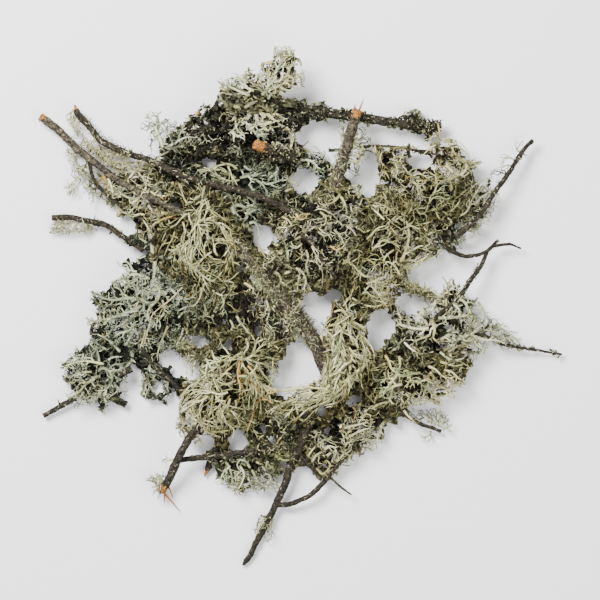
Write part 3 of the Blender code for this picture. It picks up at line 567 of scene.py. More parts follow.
        (2.6, 366, 240, 372, 234, 378, 228, 386, 226),
        (2.6, 358, 228, 364, 232, 370, 230),
        (2.6, 372, 250, 378, 244, 384, 240, 390, 242),
        (2.8, 400, 276, 396, 268, 390, 262),
        (2.6, 404, 228, 412, 226, 420, 230),
        (2.4, 414, 222, 422, 224, 430, 222),
        (2.4, 432, 244, 426, 240, 420, 242),
        (2.4, 348, 290, 350, 284, 354, 280),
        (2.4, 346, 266, 352, 262, 358, 258),
        (2.4, 350, 254, 356, 250, 362, 252),
        (2.4, 394, 250, 388, 254, 384, 260, 388, 266),
    ),
    "middle_bush": (
        (2.2, 288, 262, 287, 252, 285, 244, 282, 238),
        (2.4, 295, 240, 301, 236, 306, 230, 310, 226),
        (2.2, 302, 244, 296, 248, 290, 246),
        (2.4, 306, 250, 308, 258, 306, 266, 308, 274),
        (2.4, 312, 246, 316, 254, 320, 262, 326, 266),
        (2, 287, 222, 284, 228, 280, 234),
        (2.2, 282, 217, 288, 220, 292, 226),
        (2.2, 296, 214, 300, 220, 306, 218),
        (2.4, 340, 194, 336, 200, 330, 204),
        (2.4, 340, 196, 344, 202, 346, 208),
        (2.2, 320, 212, 326, 218, 324, 226),
        (2.2, 334, 230, 340, 236, 344, 244),
        (2.2, 346, 226, 352, 230, 356, 236),
        (2.2, 358, 198, 362, 192, 364, 187),
        (2.2, 330, 246, 336, 250, 342, 248),
        (2.2, 318, 232, 324, 236, 330, 234),
        (2.2, 342, 264, 348, 262, 354, 266, 358, 272),
        (2.2, 296, 268, 302, 272, 306, 280, 304, 288),
        (2, 262, 250, 268, 254, 274, 252),
        (2, 258, 246, 262, 252, 266, 258),
        (2, 276, 256, 270, 262, 264, 264),
    ),
    "left_middle_mat": (
        (2.8, 256, 276, 262, 272, 268, 274, 272, 280),
        (2.8, 272, 272, 278, 274, 281, 280, 278, 287),
        (2.6, 258, 278, 260, 286, 266, 291),
        (2.6, 281, 282, 286, 284, 291, 281, 295, 279),
        (2.6, 244, 283, 250, 286, 254, 290),
        (2, 283, 292, 287, 299, 291, 305, 297, 307),
        (2.4, 298, 298, 300, 303, 296, 308),
        (2.6, 237, 316, 240, 322, 245, 328, 249, 334),
        (3.4, 247, 328, 249, 336, 247, 344, 243, 350),
        (2, 230, 320, 233, 326, 230, 332),
        (2, 224, 334, 229, 330, 234, 334),
        (2.2, 222, 296, 224, 303, 220, 310),
        (2.2, 212, 290, 218, 294, 224, 296),
        (2, 266, 328, 270, 334, 268, 340),
        (2, 254, 344, 262, 340, 270, 338),
        (2, 266, 300, 268, 306, 265, 312),
        (2, 196, 350, 190, 356, 186, 362),
        (2, 200, 352, 196, 360, 190, 368),
        (2, 204, 356, 202, 366, 196, 374),
        (2, 206, 360, 206, 370, 200, 378),
        (1.8, 192, 346, 186, 350, 182, 355),
        (1.8, 198, 356, 194, 364, 193, 372),
    ),
    "straw_hanging_tuft": (
        (3.2, 338, 318, 338, 328, 337, 338, 334, 348, 331, 358, 328, 368, 326, 378),
        (3.4, 346, 322, 342, 332, 340, 342, 339, 352, 336, 362, 330, 372, 326, 382),
        (3, 328, 338, 332, 344, 336, 350, 338, 358),
        (3, 328, 326, 336, 324, 344, 322, 352, 326, 360, 330),
        (2.8, 348, 346, 352, 352, 358, 356, 364, 358),
        (3, 366, 362, 362, 370, 356, 376, 350, 382, 344, 386),
        (3.2, 364, 366, 356, 372, 350, 378, 343, 386, 337, 392, 328, 396),
        (3.4, 352, 360, 346, 364, 340, 370, 335, 377, 330, 384),
        (2.8, 354, 344, 350, 336, 348, 328, 352, 320),
        (2.8, 358, 348, 356, 340, 360, 334, 362, 342),
        (3.2, 350, 366, 350, 374, 348, 380, 344, 388),
        (3, 344, 350, 342, 360, 338, 368),
        (2.8, 352, 316, 348, 312, 350, 306, 356, 304),
        (2.6, 334, 312, 340, 310, 346, 312),
        (3, 330, 386, 322, 392, 312, 394, 302, 396, 292, 400, 282, 403),
        (3, 338, 392, 328, 398, 316, 400, 306, 402, 296, 408, 288, 413),
        (2.8, 336, 396, 326, 403, 316, 405, 306, 410, 298, 418),
        (2.6, 326, 388, 316, 388, 306, 386, 297, 387, 288, 390),
        (2.6, 316, 396, 306, 390, 300, 384),
        (2.4, 300, 402, 290, 401, 281, 404, 274, 410),
        (2.4, 343, 390, 336, 398, 332, 402),
        (2.4, 330, 400, 322, 404, 318, 408),
        (2.8, 324, 330, 330, 334, 334, 340),
        (2.6, 326, 352, 328, 360, 326, 368),
        (2.6, 362, 336, 368, 342, 372, 348, 374, 354),
        (2.4, 366, 348, 370, 354, 368, 362),
        (2.8, 340, 374, 336, 382, 334, 390),
        (2.4, 296, 396, 290, 393, 284, 394),
        (2.6, 346, 300, 352, 298, 358, 302),
        (2.4, 330, 316, 326, 322, 324, 330),
    ),
    "lower_left_fan": (
        (3.2, 246, 338, 248, 346, 245, 352, 241, 358),
        (3, 240, 360, 248, 358, 254, 354, 259, 348, 266, 344, 274, 343),
        (2.6, 254, 356, 262, 356, 270, 358, 278, 360),
        (2.6, 260, 352, 268, 352, 276, 350, 284, 348),
        (2.6, 256, 362, 264, 364, 272, 368, 277, 372),
        (3, 240, 362, 238, 370, 238, 378, 240, 385),
        (2.6, 241, 362, 245, 368, 247, 375),
        (3, 248, 366, 254, 372, 258, 380, 259, 390, 260, 400),
        (3, 258, 380, 263, 386, 268, 392, 270, 400, 268, 408),
        (2.6, 262, 384, 270, 388, 278, 391, 288, 391, 298, 390),
        (3, 238, 376, 246, 376, 252, 379, 256, 384, 250, 389, 242, 391),
        (3, 232, 366, 226, 372, 220, 378, 212, 384, 204, 392, 196, 400),
        (3.2, 236, 380, 228, 384, 220, 383, 212, 382, 204, 380),
        (3, 228, 392, 220, 394, 212, 392, 204, 390),
        (3.2, 230, 398, 228, 406, 227, 414, 232, 418, 240, 418),
        (2.8, 222, 392, 222, 400, 220, 408, 222, 416),
        (2.8, 213, 394, 212, 402, 211, 410, 208, 418, 209, 428),
        (2.8, 208, 396, 202, 400, 197, 402),
        (2.8, 192, 404, 194, 412, 194, 420, 191, 428, 188, 436),
        (2.6, 186, 412, 190, 416, 198, 418),
        (2.8, 236, 400, 236, 408, 232, 414),
        (3, 250, 372, 252, 380, 250, 388),
        (3.6, 242, 410, 249, 407, 256, 405, 260, 400),
        (2.8, 256, 388, 256, 396, 252, 402),
        (2.6, 198, 382, 190, 386, 185, 392, 182, 400),
        (2.6, 214, 374, 206, 376, 200, 382),
        (2.6, 224, 360, 216, 362, 208, 364, 202, 368),
        (2.6, 230, 356, 226, 350, 222, 346),
        (2.6, 212, 350, 214, 358, 218, 366),
        (2.6, 206, 358, 210, 366, 214, 372),
        (3, 258, 366, 263, 374, 268, 380),
        (2.6, 206, 430, 214, 432, 222, 431, 230, 430, 236, 426),
        (2.6, 198, 424, 196, 432, 200, 440, 204, 444),
        (2.6, 216, 414, 222, 418, 228, 424, 234, 430, 232, 440),
        (2.6, 202, 408, 198, 416, 202, 424, 206, 430),
        (2.4, 184, 420, 182, 428, 184, 434),
        (2.6, 254, 410, 252, 418, 249, 426, 247, 432),
        (2.6, 262, 404, 270, 408, 277, 412, 284, 414),
        (2.6, 264, 396, 272, 400, 280, 402),
        (2.8, 243, 352, 236, 356, 228, 362, 222, 368),
    ),
    "bottom_tuft": (
        (2.4, 226, 462, 230, 470, 232, 478, 232, 486),
        (2.4, 240, 466, 244, 474, 242, 482, 238, 490),
        (2.4, 252, 470, 256, 478, 262, 486, 270, 489, 276, 488),
        (2.4, 262, 466, 268, 474, 272, 480),
        (2.2, 250, 468, 246, 462, 240, 460, 237, 465, 240, 471),
        (2.2, 256, 462, 262, 464, 268, 462, 276, 466),
        (2.2, 230, 466, 224, 472, 220, 480),
        (2.2, 268, 462, 274, 468, 279, 470),
        (2.2, 248, 474, 250, 482, 252, 488),
        (2.2, 234, 472, 238, 480, 236, 488),
    ),
    "lower_right_mat": (
        (2.8, 344, 428, 352, 426, 360, 424, 368, 422),
        (2.6, 346, 438, 354, 434, 362, 430, 370, 428),
        (2.6, 300, 452, 306, 446, 304, 440),
        (2.6, 324, 450, 330, 446, 336, 450, 334, 458),
        (2.8, 316, 468, 322, 474, 328, 470, 330, 464, 326, 460),
        (2.6, 312, 462, 316, 455, 322, 452),
        (2.6, 336, 462, 342, 456, 346, 450),
        (2.4, 350, 448, 352, 455, 346, 456),
        (2.4, 352, 442, 358, 438, 366, 434),
        (2.4, 340, 410, 346, 416, 344, 424),
        (2.4, 352, 406, 356, 412, 354, 420),
        (2.4, 364, 412, 370, 408, 376, 410),
        (2.4, 360, 418, 366, 414, 372, 416),
        (2.6, 322, 426, 330, 420, 336, 414),
        (2.4, 372, 432, 378, 438, 374, 444, 368, 446),
        (2.4, 330, 404, 326, 412, 322, 418),
        (2.2, 318, 444, 324, 440, 330, 442),
        (2.2, 308, 456, 314, 448, 320, 446),
    ),
    "lower_right_upper_clump": (
        (4.2, 430, 322, 438, 318, 445, 312, 451, 305, 456, 300),
        (3.2, 438, 318, 448, 318, 456, 317, 462, 316),
        (3.2, 446, 312, 446, 304, 444, 298),
        (3, 452, 304, 458, 308, 460, 316),
        (3, 456, 300, 462, 300, 466, 305, 468, 312),
        (3.4, 432, 322, 434, 330, 433, 338, 438, 342),
        (3.2, 428, 328, 420, 329, 412, 328, 404, 326, 398, 324),
        (2.8, 428, 326, 424, 320, 420, 315),
        (2.8, 430, 335, 422, 338, 414, 341),
        (3, 440, 340, 446, 336, 452, 334, 455, 340, 452, 346),
        (3.2, 452, 342, 460, 338, 468, 335, 474, 332, 480, 326),
        (2.8, 470, 334, 478, 338, 486, 340, 494, 340, 502, 342),
        (2.4, 478, 302, 482, 308, 485, 314, 484, 320),
        (2.4, 466, 304, 470, 310, 472, 318, 468, 326),
        (2.4, 474, 314, 474, 322, 470, 328),
        (2.6, 448, 352, 456, 347, 462, 345, 468, 344),
        (2.6, 440, 352, 448, 358, 456, 360, 464, 358),
        (2.4, 412, 346, 418, 350, 424, 356),
        (2.4, 404, 342, 410, 348, 416, 352),
        (2.4, 448, 296, 448, 288, 446, 282, 442, 277),
        (2.2, 447, 284, 450, 281, 452, 277),
        (2.2, 402, 320, 398, 312, 397, 304),
        (2.4, 472, 338, 478, 346, 484, 350, 480, 354),
        (2.2, 426, 314, 422, 308, 420, 306),
        (2.6, 436, 300, 434, 306, 430, 312),
    ),
    "right_tip_tuft": (
        (2.8, 476, 333, 484, 330, 492, 331, 500, 334, 506, 340),
        (2.6, 480, 326, 488, 327, 496, 326, 504, 330, 512, 336, 518, 340),
    ),
    "lower_right_clump": (
        (3, 385, 355, 389, 362, 391, 368, 396, 373),
        (2.8, 399, 356, 400, 364, 399, 372),
        (3, 420, 373, 412, 374, 404, 376, 397, 373),
        (3.2, 397, 374, 393, 380, 389, 386, 382, 392),
        (3.2, 402, 384, 394, 386, 388, 390, 382, 394),
        (2.8, 391, 388, 391, 396, 389, 402),
        (2.4, 384, 372, 386, 378, 380, 383),
        (2.6, 430, 372, 434, 378, 432, 384),
        (2.4, 410, 398, 405, 394, 401, 398, 404, 403),
        (2.4, 416, 392, 412, 398, 416, 404, 420, 398),
        (2.4, 440, 362, 448, 364, 456, 366, 464, 364),
        (2.4, 444, 370, 452, 372, 458, 378, 462, 380),
        (2.4, 446, 378, 450, 384, 456, 386, 460, 384),
        (2.4, 432, 390, 436, 396, 438, 402),
        (2.4, 424, 386, 430, 392, 434, 398),
        (2.4, 404, 410, 408, 416, 413, 420),
        (2.4, 428, 366, 436, 370, 442, 376, 450, 378),
        (2.4, 372, 408, 380, 404, 388, 402, 396, 404),
        (2.4, 410, 380, 418, 382, 426, 380, 434, 384),
        (2.4, 436, 386, 444, 388, 450, 392, 454, 396),
        (2.2, 424, 404, 430, 400, 436, 402),
    ),
    "lower_right_fuzz": (
        (1.8, 428, 423, 428, 419, 426, 416),
        (1.8, 432, 424, 432, 419, 431, 415),
        (1.8, 435, 425, 436, 420, 437, 414),
        (1.8, 438, 426, 440, 421, 441, 416),
        (1.8, 441, 428, 444, 424, 446, 419),
        (1.6, 436, 425, 434, 421, 434, 416),
        (1.6, 439, 427, 442, 424, 444, 418),
        (1.6, 443, 429, 446, 428, 448, 428),
        (1.6, 430, 423, 429, 420, 424, 418),
        (1.6, 431, 431, 431, 435, 427, 437, 424, 437),
        (1.4, 430, 434, 432, 438, 430, 440),
    ),
    "bottom_twig_tuft": (
        (2.2, 262, 537, 260, 531, 263, 525, 267, 520),
        (2, 259, 534, 257, 528, 257, 523),
        (2, 262, 531, 267, 527, 270, 522),
        (1.8, 261, 538, 257, 536, 255, 532),
        (1.8, 264, 538, 268, 536, 268, 532),
        (1.8, 265, 528, 270, 528, 271, 524),
        (1.8, 258, 529, 260, 524, 264, 522),
    ),
    "splintered_twig_tufts": (
        (2.6, 163, 484, 158, 486, 152, 488),
        (2.6, 163, 482, 157, 480, 151, 481),
        (2.4, 162, 480, 158, 476, 157, 473),
        (2.4, 162, 486, 158, 490, 154, 491),
        (2.2, 194, 444, 197, 441, 201, 440),
        (1.8, 164, 486, 158, 484, 152, 482),
        (1.8, 164, 482, 158, 478, 155, 474),
        (1.8, 163, 484, 160, 480, 158, 474),
        (1.8, 176, 458, 172, 460, 168, 461),
    ),
    "thin_lower_left_tufts": (
        (2.4, 153, 362, 149, 366, 150, 372, 155, 370),
        (2, 148, 374, 146, 382, 142, 386, 138, 386),
        (2, 147, 376, 149, 384, 152, 390, 155, 394),
        (2, 146, 384, 144, 392, 142, 397),
        (2.2, 168, 380, 167, 388, 169, 395, 166, 398),
        (2, 166, 382, 163, 388, 164, 392),
    ),
}

# The openings that show the ground: middle and half widths, in pixels of the photo.
OPENINGS = (
    (436, 271, 19, 12), (464, 267, 20, 14), (297, 369, 19, 19), (317, 137, 22, 15), (369, 175, 10, 24),
    (398, 138, 28, 7), (314, 309, 17, 16), (381, 326, 13, 16), (376, 340, 10, 11), (304, 182, 14, 13), (410, 303, 15, 10),
    (263, 236, 11, 13), (166, 360, 8, 7), (177, 371, 9, 6), (238, 441, 8, 14), (203, 444, 13, 8), (420, 160, 12, 8),
    (199, 341, 11, 7), (209, 162, 9, 5), (323, 412, 6, 6), (228, 345, 6, 5), (177, 205, 5, 5),
    (241, 269, 5, 5), (304, 414, 5, 4), (356, 399, 6, 4), (257, 333, 5, 4), (83, 181, 4, 4),
    (273, 440, 4, 4), (198, 328, 3, 4), (444, 146, 4, 2), (196, 373, 3, 5), (286, 395, 5, 4),
    (327, 430, 4, 3), (80, 161, 3, 4), (376, 359, 3, 2), (349, 404, 3, 5), (182, 387, 3, 3),
    (464, 309, 2, 4), (262, 429, 3, 3), (448, 328, 3, 3), (297, 427, 3, 3), (114, 252, 20, 9),
    (103, 275, 10, 9), (524, 172, 8, 12), (497, 184, 6, 8), (148, 488, 7, 8),
    (66, 246, 30, 13), (173, 405, 7, 14), (251, 522, 5, 10), (129, 226, 7, 10), (134, 382, 8, 17),
    (481, 175, 9, 11), (266, 47, 9, 12), (303, 50, 9, 12), (286, 37, 24, 9), (303, 93, 13, 5), (457, 404, 6, 8),
    (333, 295, 8, 7), (84, 334, 7, 12), (100, 286, 10, 5), (116, 270, 8, 9), (134, 252, 12, 8),
    (100, 208, 9, 7), (474, 384, 8, 18), (468, 150, 8, 10), (494, 222, 5, 10), (303, 472, 9, 7),
    (292, 351, 6, 8), (140, 401, 7, 6), (157, 388, 4, 9), (236, 447, 8, 6), (118, 222, 10, 7),
    (108, 212, 9, 5), (156, 467, 10, 7), (291, 95, 10, 5), (330, 156, 6, 5), (284, 464, 5, 4), (392, 432, 9, 9), (212, 92, 7, 12),
)

# Where lobes have died back to rusty brown: middle and reach, in pixels of the photo.
RUSTY_SPOTS = (
    (241, 370, 9), (248, 410, 6), (215, 274, 4), (170, 217, 5), (103, 174, 4), (300, 226, 4),
    (244, 298, 6), (396, 405, 5), (131, 268, 3), (155, 330, 6), (240, 358, 6), (110, 196, 3),
)

# Small lobes on the bark: finish, kind, how many, from and to which share of the twig, and how far they reach.
TUFTED_TWIGS = {
    "mossy_right_twig": ("dark_moss", "FINE", 420, 0.0, 1.0, 3.5),
    "mossy_left_twig": ("dark_moss", "MOSSY", 700, 0.0, 1.0, 7.0),
    "long_top_twig": ("pale_lichen", "FINE", 200, 0.40, 0.97, 3.0),
    "level_top_twig": ("leafy_crust", "LEAFY", 480, 0.1, 1.0, 1.6),
    "orange_stub": ("leafy_crust", "LEAFY", 240, 0.0, 0.6, 2.5),
    "broken_top_twig": ("bushy_lichen", "FINE", 260, 0.0, 0.6, 4.0),
    "left_twig": ("leafy_crust", "LEAFY", 60, 0.1, 1.0, 1.0),
    "upper_right_twig": ("grey_lichen", "FINE", 60, 0.3, 0.85, 1.5),
    "right_twig": ("leafy_crust", "FINE", 30, 0.0, 0.6, 1.0),
    "right_twig_fork": ("grey_lichen", "FINE", 60, 0.2, 0.9, 1.2),
    "right_tip_twig": ("leafy_crust", "LEAFY", 40, 0.4, 1.0, 1.0),
    "thick_branch": ("bushy_lichen", "FINE", 1000, 0.22, 1.0, 7.0),
    "bottom_twig": ("dark_moss", "MOSSY", 120, 0.0, 0.3, 3.0),
    "thin_top_twig": ("bushy_lichen", "FINE", 40, 0.0, 0.8, 1.6),
    "knobbly_twig": ("grey_lichen", "FINE", 40, 0.3, 0.8, 2.0),
    "level_bottom_twig": ("leafy_crust", "FINE", 60, 0.0, 0.8, 1.2),
}

# Lichens so loose in the photo that the ground shows between their lobes.
AIRY = (
    "upper_left_sprig", "upper_left_fringe", "left_tip_tuft", "upper_right_tufts", "broken_twig_tuft",
    "right_tip_tuft", "lower_right_fuzz", "splintered_twig_tufts", "bottom_twig_tuft",
)

# How much darker than the rest the old growth is, where it isn't 0.4: extra depth for its tone, partly the old growth's
# own dark colour and partly painted shade.
OLD_GROWTH_SHADE = {"grey_lichen": 1.9, "leafy_crust": 1.8, "straw_lichen": 1.0}

CELL = 2.5
GROWTH = 0.73
GAP = 1.0
BRIDGE = 15.0
REACH = 6.5
THIN = 0.012
LAID = -50.0
CLOSED = -9.0
TINTS = 5
LEAST_ROOM = -0.9
TIP_ROOM = -2.6
TOP_TONES = 0.7
UNDER_TONES = 0.76


# Materials


def add_node(tree, kind, **settings):
    node = tree.nodes.new(kind)
    for name, value in settings.items():
        setattr(node, name, value)
    return node


def principled(name, roughness, specular=0.3):
    material = bpy.data.materials.new(name)
    material.use_nodes = True
    shader = material.node_tree.nodes["Principled BSDF"]
    shader.inputs["Roughness"].default_value = roughness
    shader.inputs["Specular IOR Level"].default_value = specular
    return material, material.node_tree, shader


def math_node(tree, operation, one, other):
    node = add_node(tree, "ShaderNodeMath", operation=operation)
    tree.links.new(one, node.inputs[0])
    node.inputs[1].default_value = other
    return node.outputs[0]


def ramp(tree, factor, stops, blend="LINEAR"):
    node = add_node(tree, "ShaderNodeValToRGB")
    node.color_ramp.interpolation = blend
    elements = node.color_ramp.elements
    while len(elements) < len(stops):
        elements.new(0.5)
    for element, (place, colour) in zip(elements, stops):
        element.position = place
        element.color = (*colour, 1.0)
    tree.links.new(factor, node.inputs["Fac"])
    return node.outputs["Color"]


def mix(tree, factor, one, other, blend="MIX"):
    node = add_node(tree, "ShaderNodeMix", data_type="RGBA", blend_type=blend)
    for socket, value in ((node.inputs[0], factor), (node.inputs[6], one), (node.inputs[7], other)):
        if isinstance(value, bpy.types.NodeSocket):
            tree.links.new(value, socket)
        else:
            socket.default_value = value
    return node.outputs[2]


def noise_texture(tree, vector, scale, detail=4.0, roughness=0.6):
    node = add_node(tree, "ShaderNodeTexNoise")
    node.inputs["Scale"].default_value = scale
    node.inputs["Detail"].default_value = detail
    node.inputs["Roughness"].default_value = roughness
    tree.links.new(vector, node.inputs["Vector"])
    return node.outputs["Fac"]


def lichen_finish(name, root, dark, body, pale, tip, under):
    """Colour by tint and place along a lobe (u) and by tone (v), both in the piece's own UV map. The tone carries
    painted shade at its dark end and a painted highlight at its light end.
    """
    rusty = (0.95, 0.66, 0.36)
    material, tree, shader = principled(name, 0.85, 0.2)
    uv = add_node(tree, "ShaderNodeUVMap", uv_map="OFBake")
    parts = add_node(tree, "ShaderNodeSeparateXYZ")
    tree.links.new(uv.outputs["UV"], parts.inputs["Vector"])
    tint, tone = parts.outputs["X"], parts.outputs["Y"]
    along = math_node(tree, "FRACT", math_node(tree, "MULTIPLY", tint, TINTS), 0.0)
    stretch = add_node(tree, "ShaderNodeMapping")
    stretch.inputs["Scale"].default_value = (15.0, 14.0, 1.0)
    tree.links.new(uv.outputs["UV"], stretch.inputs["Vector"])
    mottle = noise_texture(tree, stretch.outputs["Vector"], 6.0)
    # The light stop, 2.4 times pale, is a painted highlight for the outermost lobes; the dark stop is painted shade
    # deep in the tangle.
    light = [min(0.92, value * 2.4) for value in pale]
    tones = ramp(tree, tone, [(0.05, dark), (0.3, body), (0.52, pale), (0.68, light)])
    # Grey-green, plain, yellow, bleached and rusty lobes.
    tints = ramp(
        tree,
        tint,
        [(0, (0.84, 0.93, 0.9)), (0.2, (1, 1, 1)), (0.4, (1.06, 1.0, 0.78)), (0.6, (1.3, 1.3, 1.4)), (0.8, rusty)],
        "CONSTANT",
    )
    tones = mix(tree, 1.0, tones, tints, "MULTIPLY")
    ends = ramp(tree, along, [(0.0, root), (0.15, (1, 1, 1)), (0.7, (1, 1, 1)), (1.0, tip)])
    colour = mix(tree, 1.0, tones, ends, "MULTIPLY")
    shade = ramp(tree, mottle, [(0.3, (0.78, 0.78, 0.76)), (0.7, (1.12, 1.12, 1.12))])
    colour = mix(tree, 1.0, colour, shade, "MULTIPLY")
    below = math_node(tree, "GREATER_THAN", tone, (TOP_TONES + UNDER_TONES) / 2)
    colour = mix(tree, below, colour, (*under, 1.0))
    tree.links.new(colour, shader.inputs["Base Color"])
    return material


def bark_finish(name, deep, ridge, crust, crust_share):
    material, tree, shader = principled(name, 0.88, 0.25)
    place = add_node(tree, "ShaderNodeTexCoord").outputs["Object"]
    fine = noise_texture(tree, place, 620, 6.0, 0.72)
    wide = noise_texture(tree, place, 160, 5.0, 0.65)
    patches = noise_texture(tree, place, 430, 6.0, 0.7)
    colour = ramp(tree, fine, [(0.42, deep), (0.58, ridge)])
    warm = ramp(tree, wide, [(0.35, (0.6, 0.6, 0.6)), (0.65, (1.35, 1.3, 1.2))])
    colour = mix(tree, 1.0, colour, warm, "MULTIPLY")
    edge = 0.70 - crust_share
    spots = ramp(tree, patches, [(edge, (0, 0, 0)), (edge + 0.03, (1, 1, 1))])
    colour = mix(tree, spots, colour, (*crust, 1.0))
    tree.links.new(colour, shader.inputs["Base Color"])
    bump = add_node(tree, "ShaderNodeBump")
    bump.inputs["Strength"].default_value = 0.6
    bump.inputs["Distance"].default_value = 0.0006
    tree.links.new(fine, bump.inputs["Height"])
    tree.links.new(bump.outputs["Normal"], shader.inputs["Normal"])
    return material


def wood_finish():
    """Fresh broken wood: bright orange-brown with dark fibres."""
    material, tree, shader = principled("broken_wood", 0.7, 0.3)
    place = add_node(tree, "ShaderNodeTexCoord").outputs["Object"]
    fibres = noise_texture(tree, place, 1100, 5.0, 0.7)
    colour = ramp(tree, fibres, [(0.38, (0.05, 0.016, 0.004)), (0.5, (0.27, 0.088, 0.014)), (0.62, (0.55, 0.27, 0.06))])
    tree.links.new(colour, shader.inputs["Base Color"])
    bump = add_node(tree, "ShaderNodeBump")
    bump.inputs["Strength"].default_value = 0.5
    bump.inputs["Distance"].default_value = 0.0005
    tree.links.new(fibres, bump.inputs["Height"])
    tree.links.new(bump.outputs["Normal"], shader.inputs["Normal"])
    return material


def needle_finish():
    material, tree, shader = principled("dry_needle", 0.5, 0.4)
    place = add_node(tree, "ShaderNodeTexCoord").outputs["Object"]
    patches = noise_texture(tree, place, 200, 3.0)
    colour = ramp(tree, patches, [(0.35, (0.26, 0.19, 0.08)), (0.6, (0.46, 0.37, 0.18))])
    tree.links.new(colour, shader.inputs["Base Color"])
    return material


# Colours: root, dark, body, pale, tip and under. The dark colour, near black, is painted shade for lobes deep in the
# tangle and for the low dark lobes.
LICHEN_FINISHES = {
    "grey_lichen": lichen_finish(
        "grey_lichen", (0.8, 0.76, 0.66), (0.007, 0.008, 0.005), (0.085, 0.092, 0.056), (0.33, 0.35, 0.225),
        (1.2, 1.2, 1.15), (0.025, 0.024, 0.016),
    ),
    "pale_lichen": lichen_finish(
        "pale_lichen", (0.8, 0.72, 0.6), (0.012, 0.012, 0.006), (0.135, 0.135, 0.07), (0.43, 0.43, 0.26),
        (1.15, 1.15, 1.1), (0.08, 0.075, 0.042),
    ),
    "straw_lichen": lichen_finish(
        "straw_lichen", (0.85, 0.72, 0.55), (0.012, 0.010, 0.004), (0.155, 0.142, 0.06), (0.48, 0.46, 0.24),
        (1.1, 1.1, 1.05), (0.12, 0.10, 0.045),
    ),
    "bushy_lichen": lichen_finish(
        "bushy_lichen", (0.75, 0.65, 0.5), (0.011, 0.010, 0.005), (0.135, 0.128, 0.062), (0.43, 0.42, 0.24),
        (1.25, 1.25, 1.15), (0.07, 0.065, 0.036),
    ),
    "leafy_crust": lichen_finish(
        "leafy_crust", (0.8, 0.75, 0.65), (0.007, 0.006, 0.003), (0.055, 0.053, 0.029), (0.25, 0.25, 0.16),
        (1.3, 1.3, 1.2), (0.02, 0.018, 0.011),
    ),
    "dark_moss": lichen_finish(
        "dark_moss", (0.75, 0.65, 0.5), (0.014, 0.014, 0.006), (0.18, 0.18, 0.08), (0.42, 0.42, 0.23),
        (1.25, 1.25, 1.1), (0.025, 0.025, 0.012),
    ),
}
# Each ribbon's edges take its tone times this share, 0.62 where unlisted: painted shade along the borders. The leafy
# crust's edges are lighter instead.
EDGE_SHADING = {"leafy_crust": 1.2}
BARKS = {
    "bark": bark_finish("bark", (0.006, 0.0048, 0.003), (0.098, 0.083, 0.056), (0.29, 0.27, 0.18), 0.10),
    "dark_bark": bark_finish("dark_bark", (0.003, 0.0022, 0.0012), (0.040, 0.034, 0.021), (0.26, 0.25, 0.16), 0.10),
    "mossy_bark": bark_finish("mossy_bark", (0.008, 0.008, 0.004), (0.08, 0.078, 0.04), (0.2, 0.2, 0.11), 0.16),
}
BROKEN_WOOD = wood_finish()
NEEDLE = needle_finish()


# Twigs


def smooth_route(points, step):
    """Points about one step apart on a smooth curve through the given ones."""
    knots = [Vector(point) for point in points]
    ends = [knots[0] * 2 - knots[1], *knots, knots[-1] * 2 - knots[-2]]
    route = []
    for before, start, end, after in zip(ends, ends[1:], ends[2:], ends[3:]):
        count = max(1, round((end - start).length / step))
        for index in range(count):
            t = index / count
            route.append(
                0.5
                * (
                    2 * start
                    + (end - before) * t
                    + (2 * before - 5 * start + 4 * end - after) * t * t
                    + (3 * start - before - 3 * end + after) * t * t * t
                )
            )
    route.append(knots[-1])
    return route


def tube_mesh(name, points, radii, resolution):
    """A capped tube along the points, read from a bevelled curve, in metres."""
    curve = bpy.data.curves.new(name, "CURVE")
    curve.dimensions = "3D"
    curve.bevel_depth = MM
    curve.bevel_resolution = resolution
    curve.use_fill_caps = True
    spline = curve.splines.new("POLY")
    spline.points.add(len(points) - 1)
    for spot, point, radius in zip(spline.points, points, radii):
        spot.co = (*(point * MM), 1.0)
        spot.radius = radius
    source = bpy.data.objects.new(name, curve)
    bpy.context.scene.collection.objects.link(source)
    bpy.context.view_layer.update()
    mesh = bpy.data.meshes.new_from_object(source.evaluated_get(bpy.context.evaluated_depsgraph_get()))
    bpy.data.objects.remove(source)
    bpy.data.curves.remove(curve)
    return mesh


def add_tube(body, points, radii, resolution, wood_ends, bare=False):
    """Adds a twig's tube to the bmesh, with rough bark and broken ends. Face material 1 is bare wood."""
    tube = bmesh.new()
    mesh = tube_mesh("tube", points, radii, resolution)
    tube.from_mesh(mesh)
    bpy.data.meshes.remove(mesh)
    bmesh.ops.remove_doubles(tube, verts=tube.verts, dist=0.002 * MM)
    bmesh.ops.recalc_face_normals(tube, faces=tube.faces)
    for face in tube.faces:
        face.smooth = True
        face.material_index = 1 if bare else 0
    for point in (points[0], points[-1]):
        fan = [face for face in tube.faces if len(face.verts) == 3 and (face.calc_center_median() / MM - point).length < 9]
        bmesh.ops.dissolve_faces(tube, faces=fan)
    caps = [face for face in tube.faces if len(face.verts) > 4]
    for cap in caps:
        middle = cap.calc_center_median() / MM
        end = 0 if (middle - points[0]).length < (middle - points[-1]).length else -1
        radius = radii[end]
        for share in (0.3, 0.4, 0.5):
            bmesh.ops.inset_region(tube, faces=[cap], thickness=radius * share * 0.6 * MM, depth=0)
        if wood_ends and end == wood_ends[0]:
            for face in tube.faces:
                place = face.calc_center_median() / MM
                if (place - points[end]).length < wood_ends[1] * (1 + 0.5 * noise.noise(place * 0.5)):
                    face.material_index = 1
            splinter_end(cap, cap.normal.copy(), radius)
    relief = 0.085 if not bare else 0.02
    tube.normal_update()
    for vert in tube.verts:
        place = vert.co / MM
        ridges = noise.turbulence(place * 0.42, 4, False, amplitude_scale=0.6, frequency_scale=2.2)
        plates = noise.noise(place * 0.16)
        vert.co += vert.normal * (ridges - 0.55) * relief * 6.0 * MM * min(1.0, radii[0] * 0.35)
        vert.co += vert.normal * plates * 0.3 * MM * min(1.0, radii[0] * 0.3)
        vert.co.z = max(vert.co.z, 0.05 * MM)
    whole = bpy.data.meshes.new("whole")
    tube.to_mesh(whole)
    tube.free()
    body.from_mesh(whole)
    bpy.data.meshes.remove(whole)


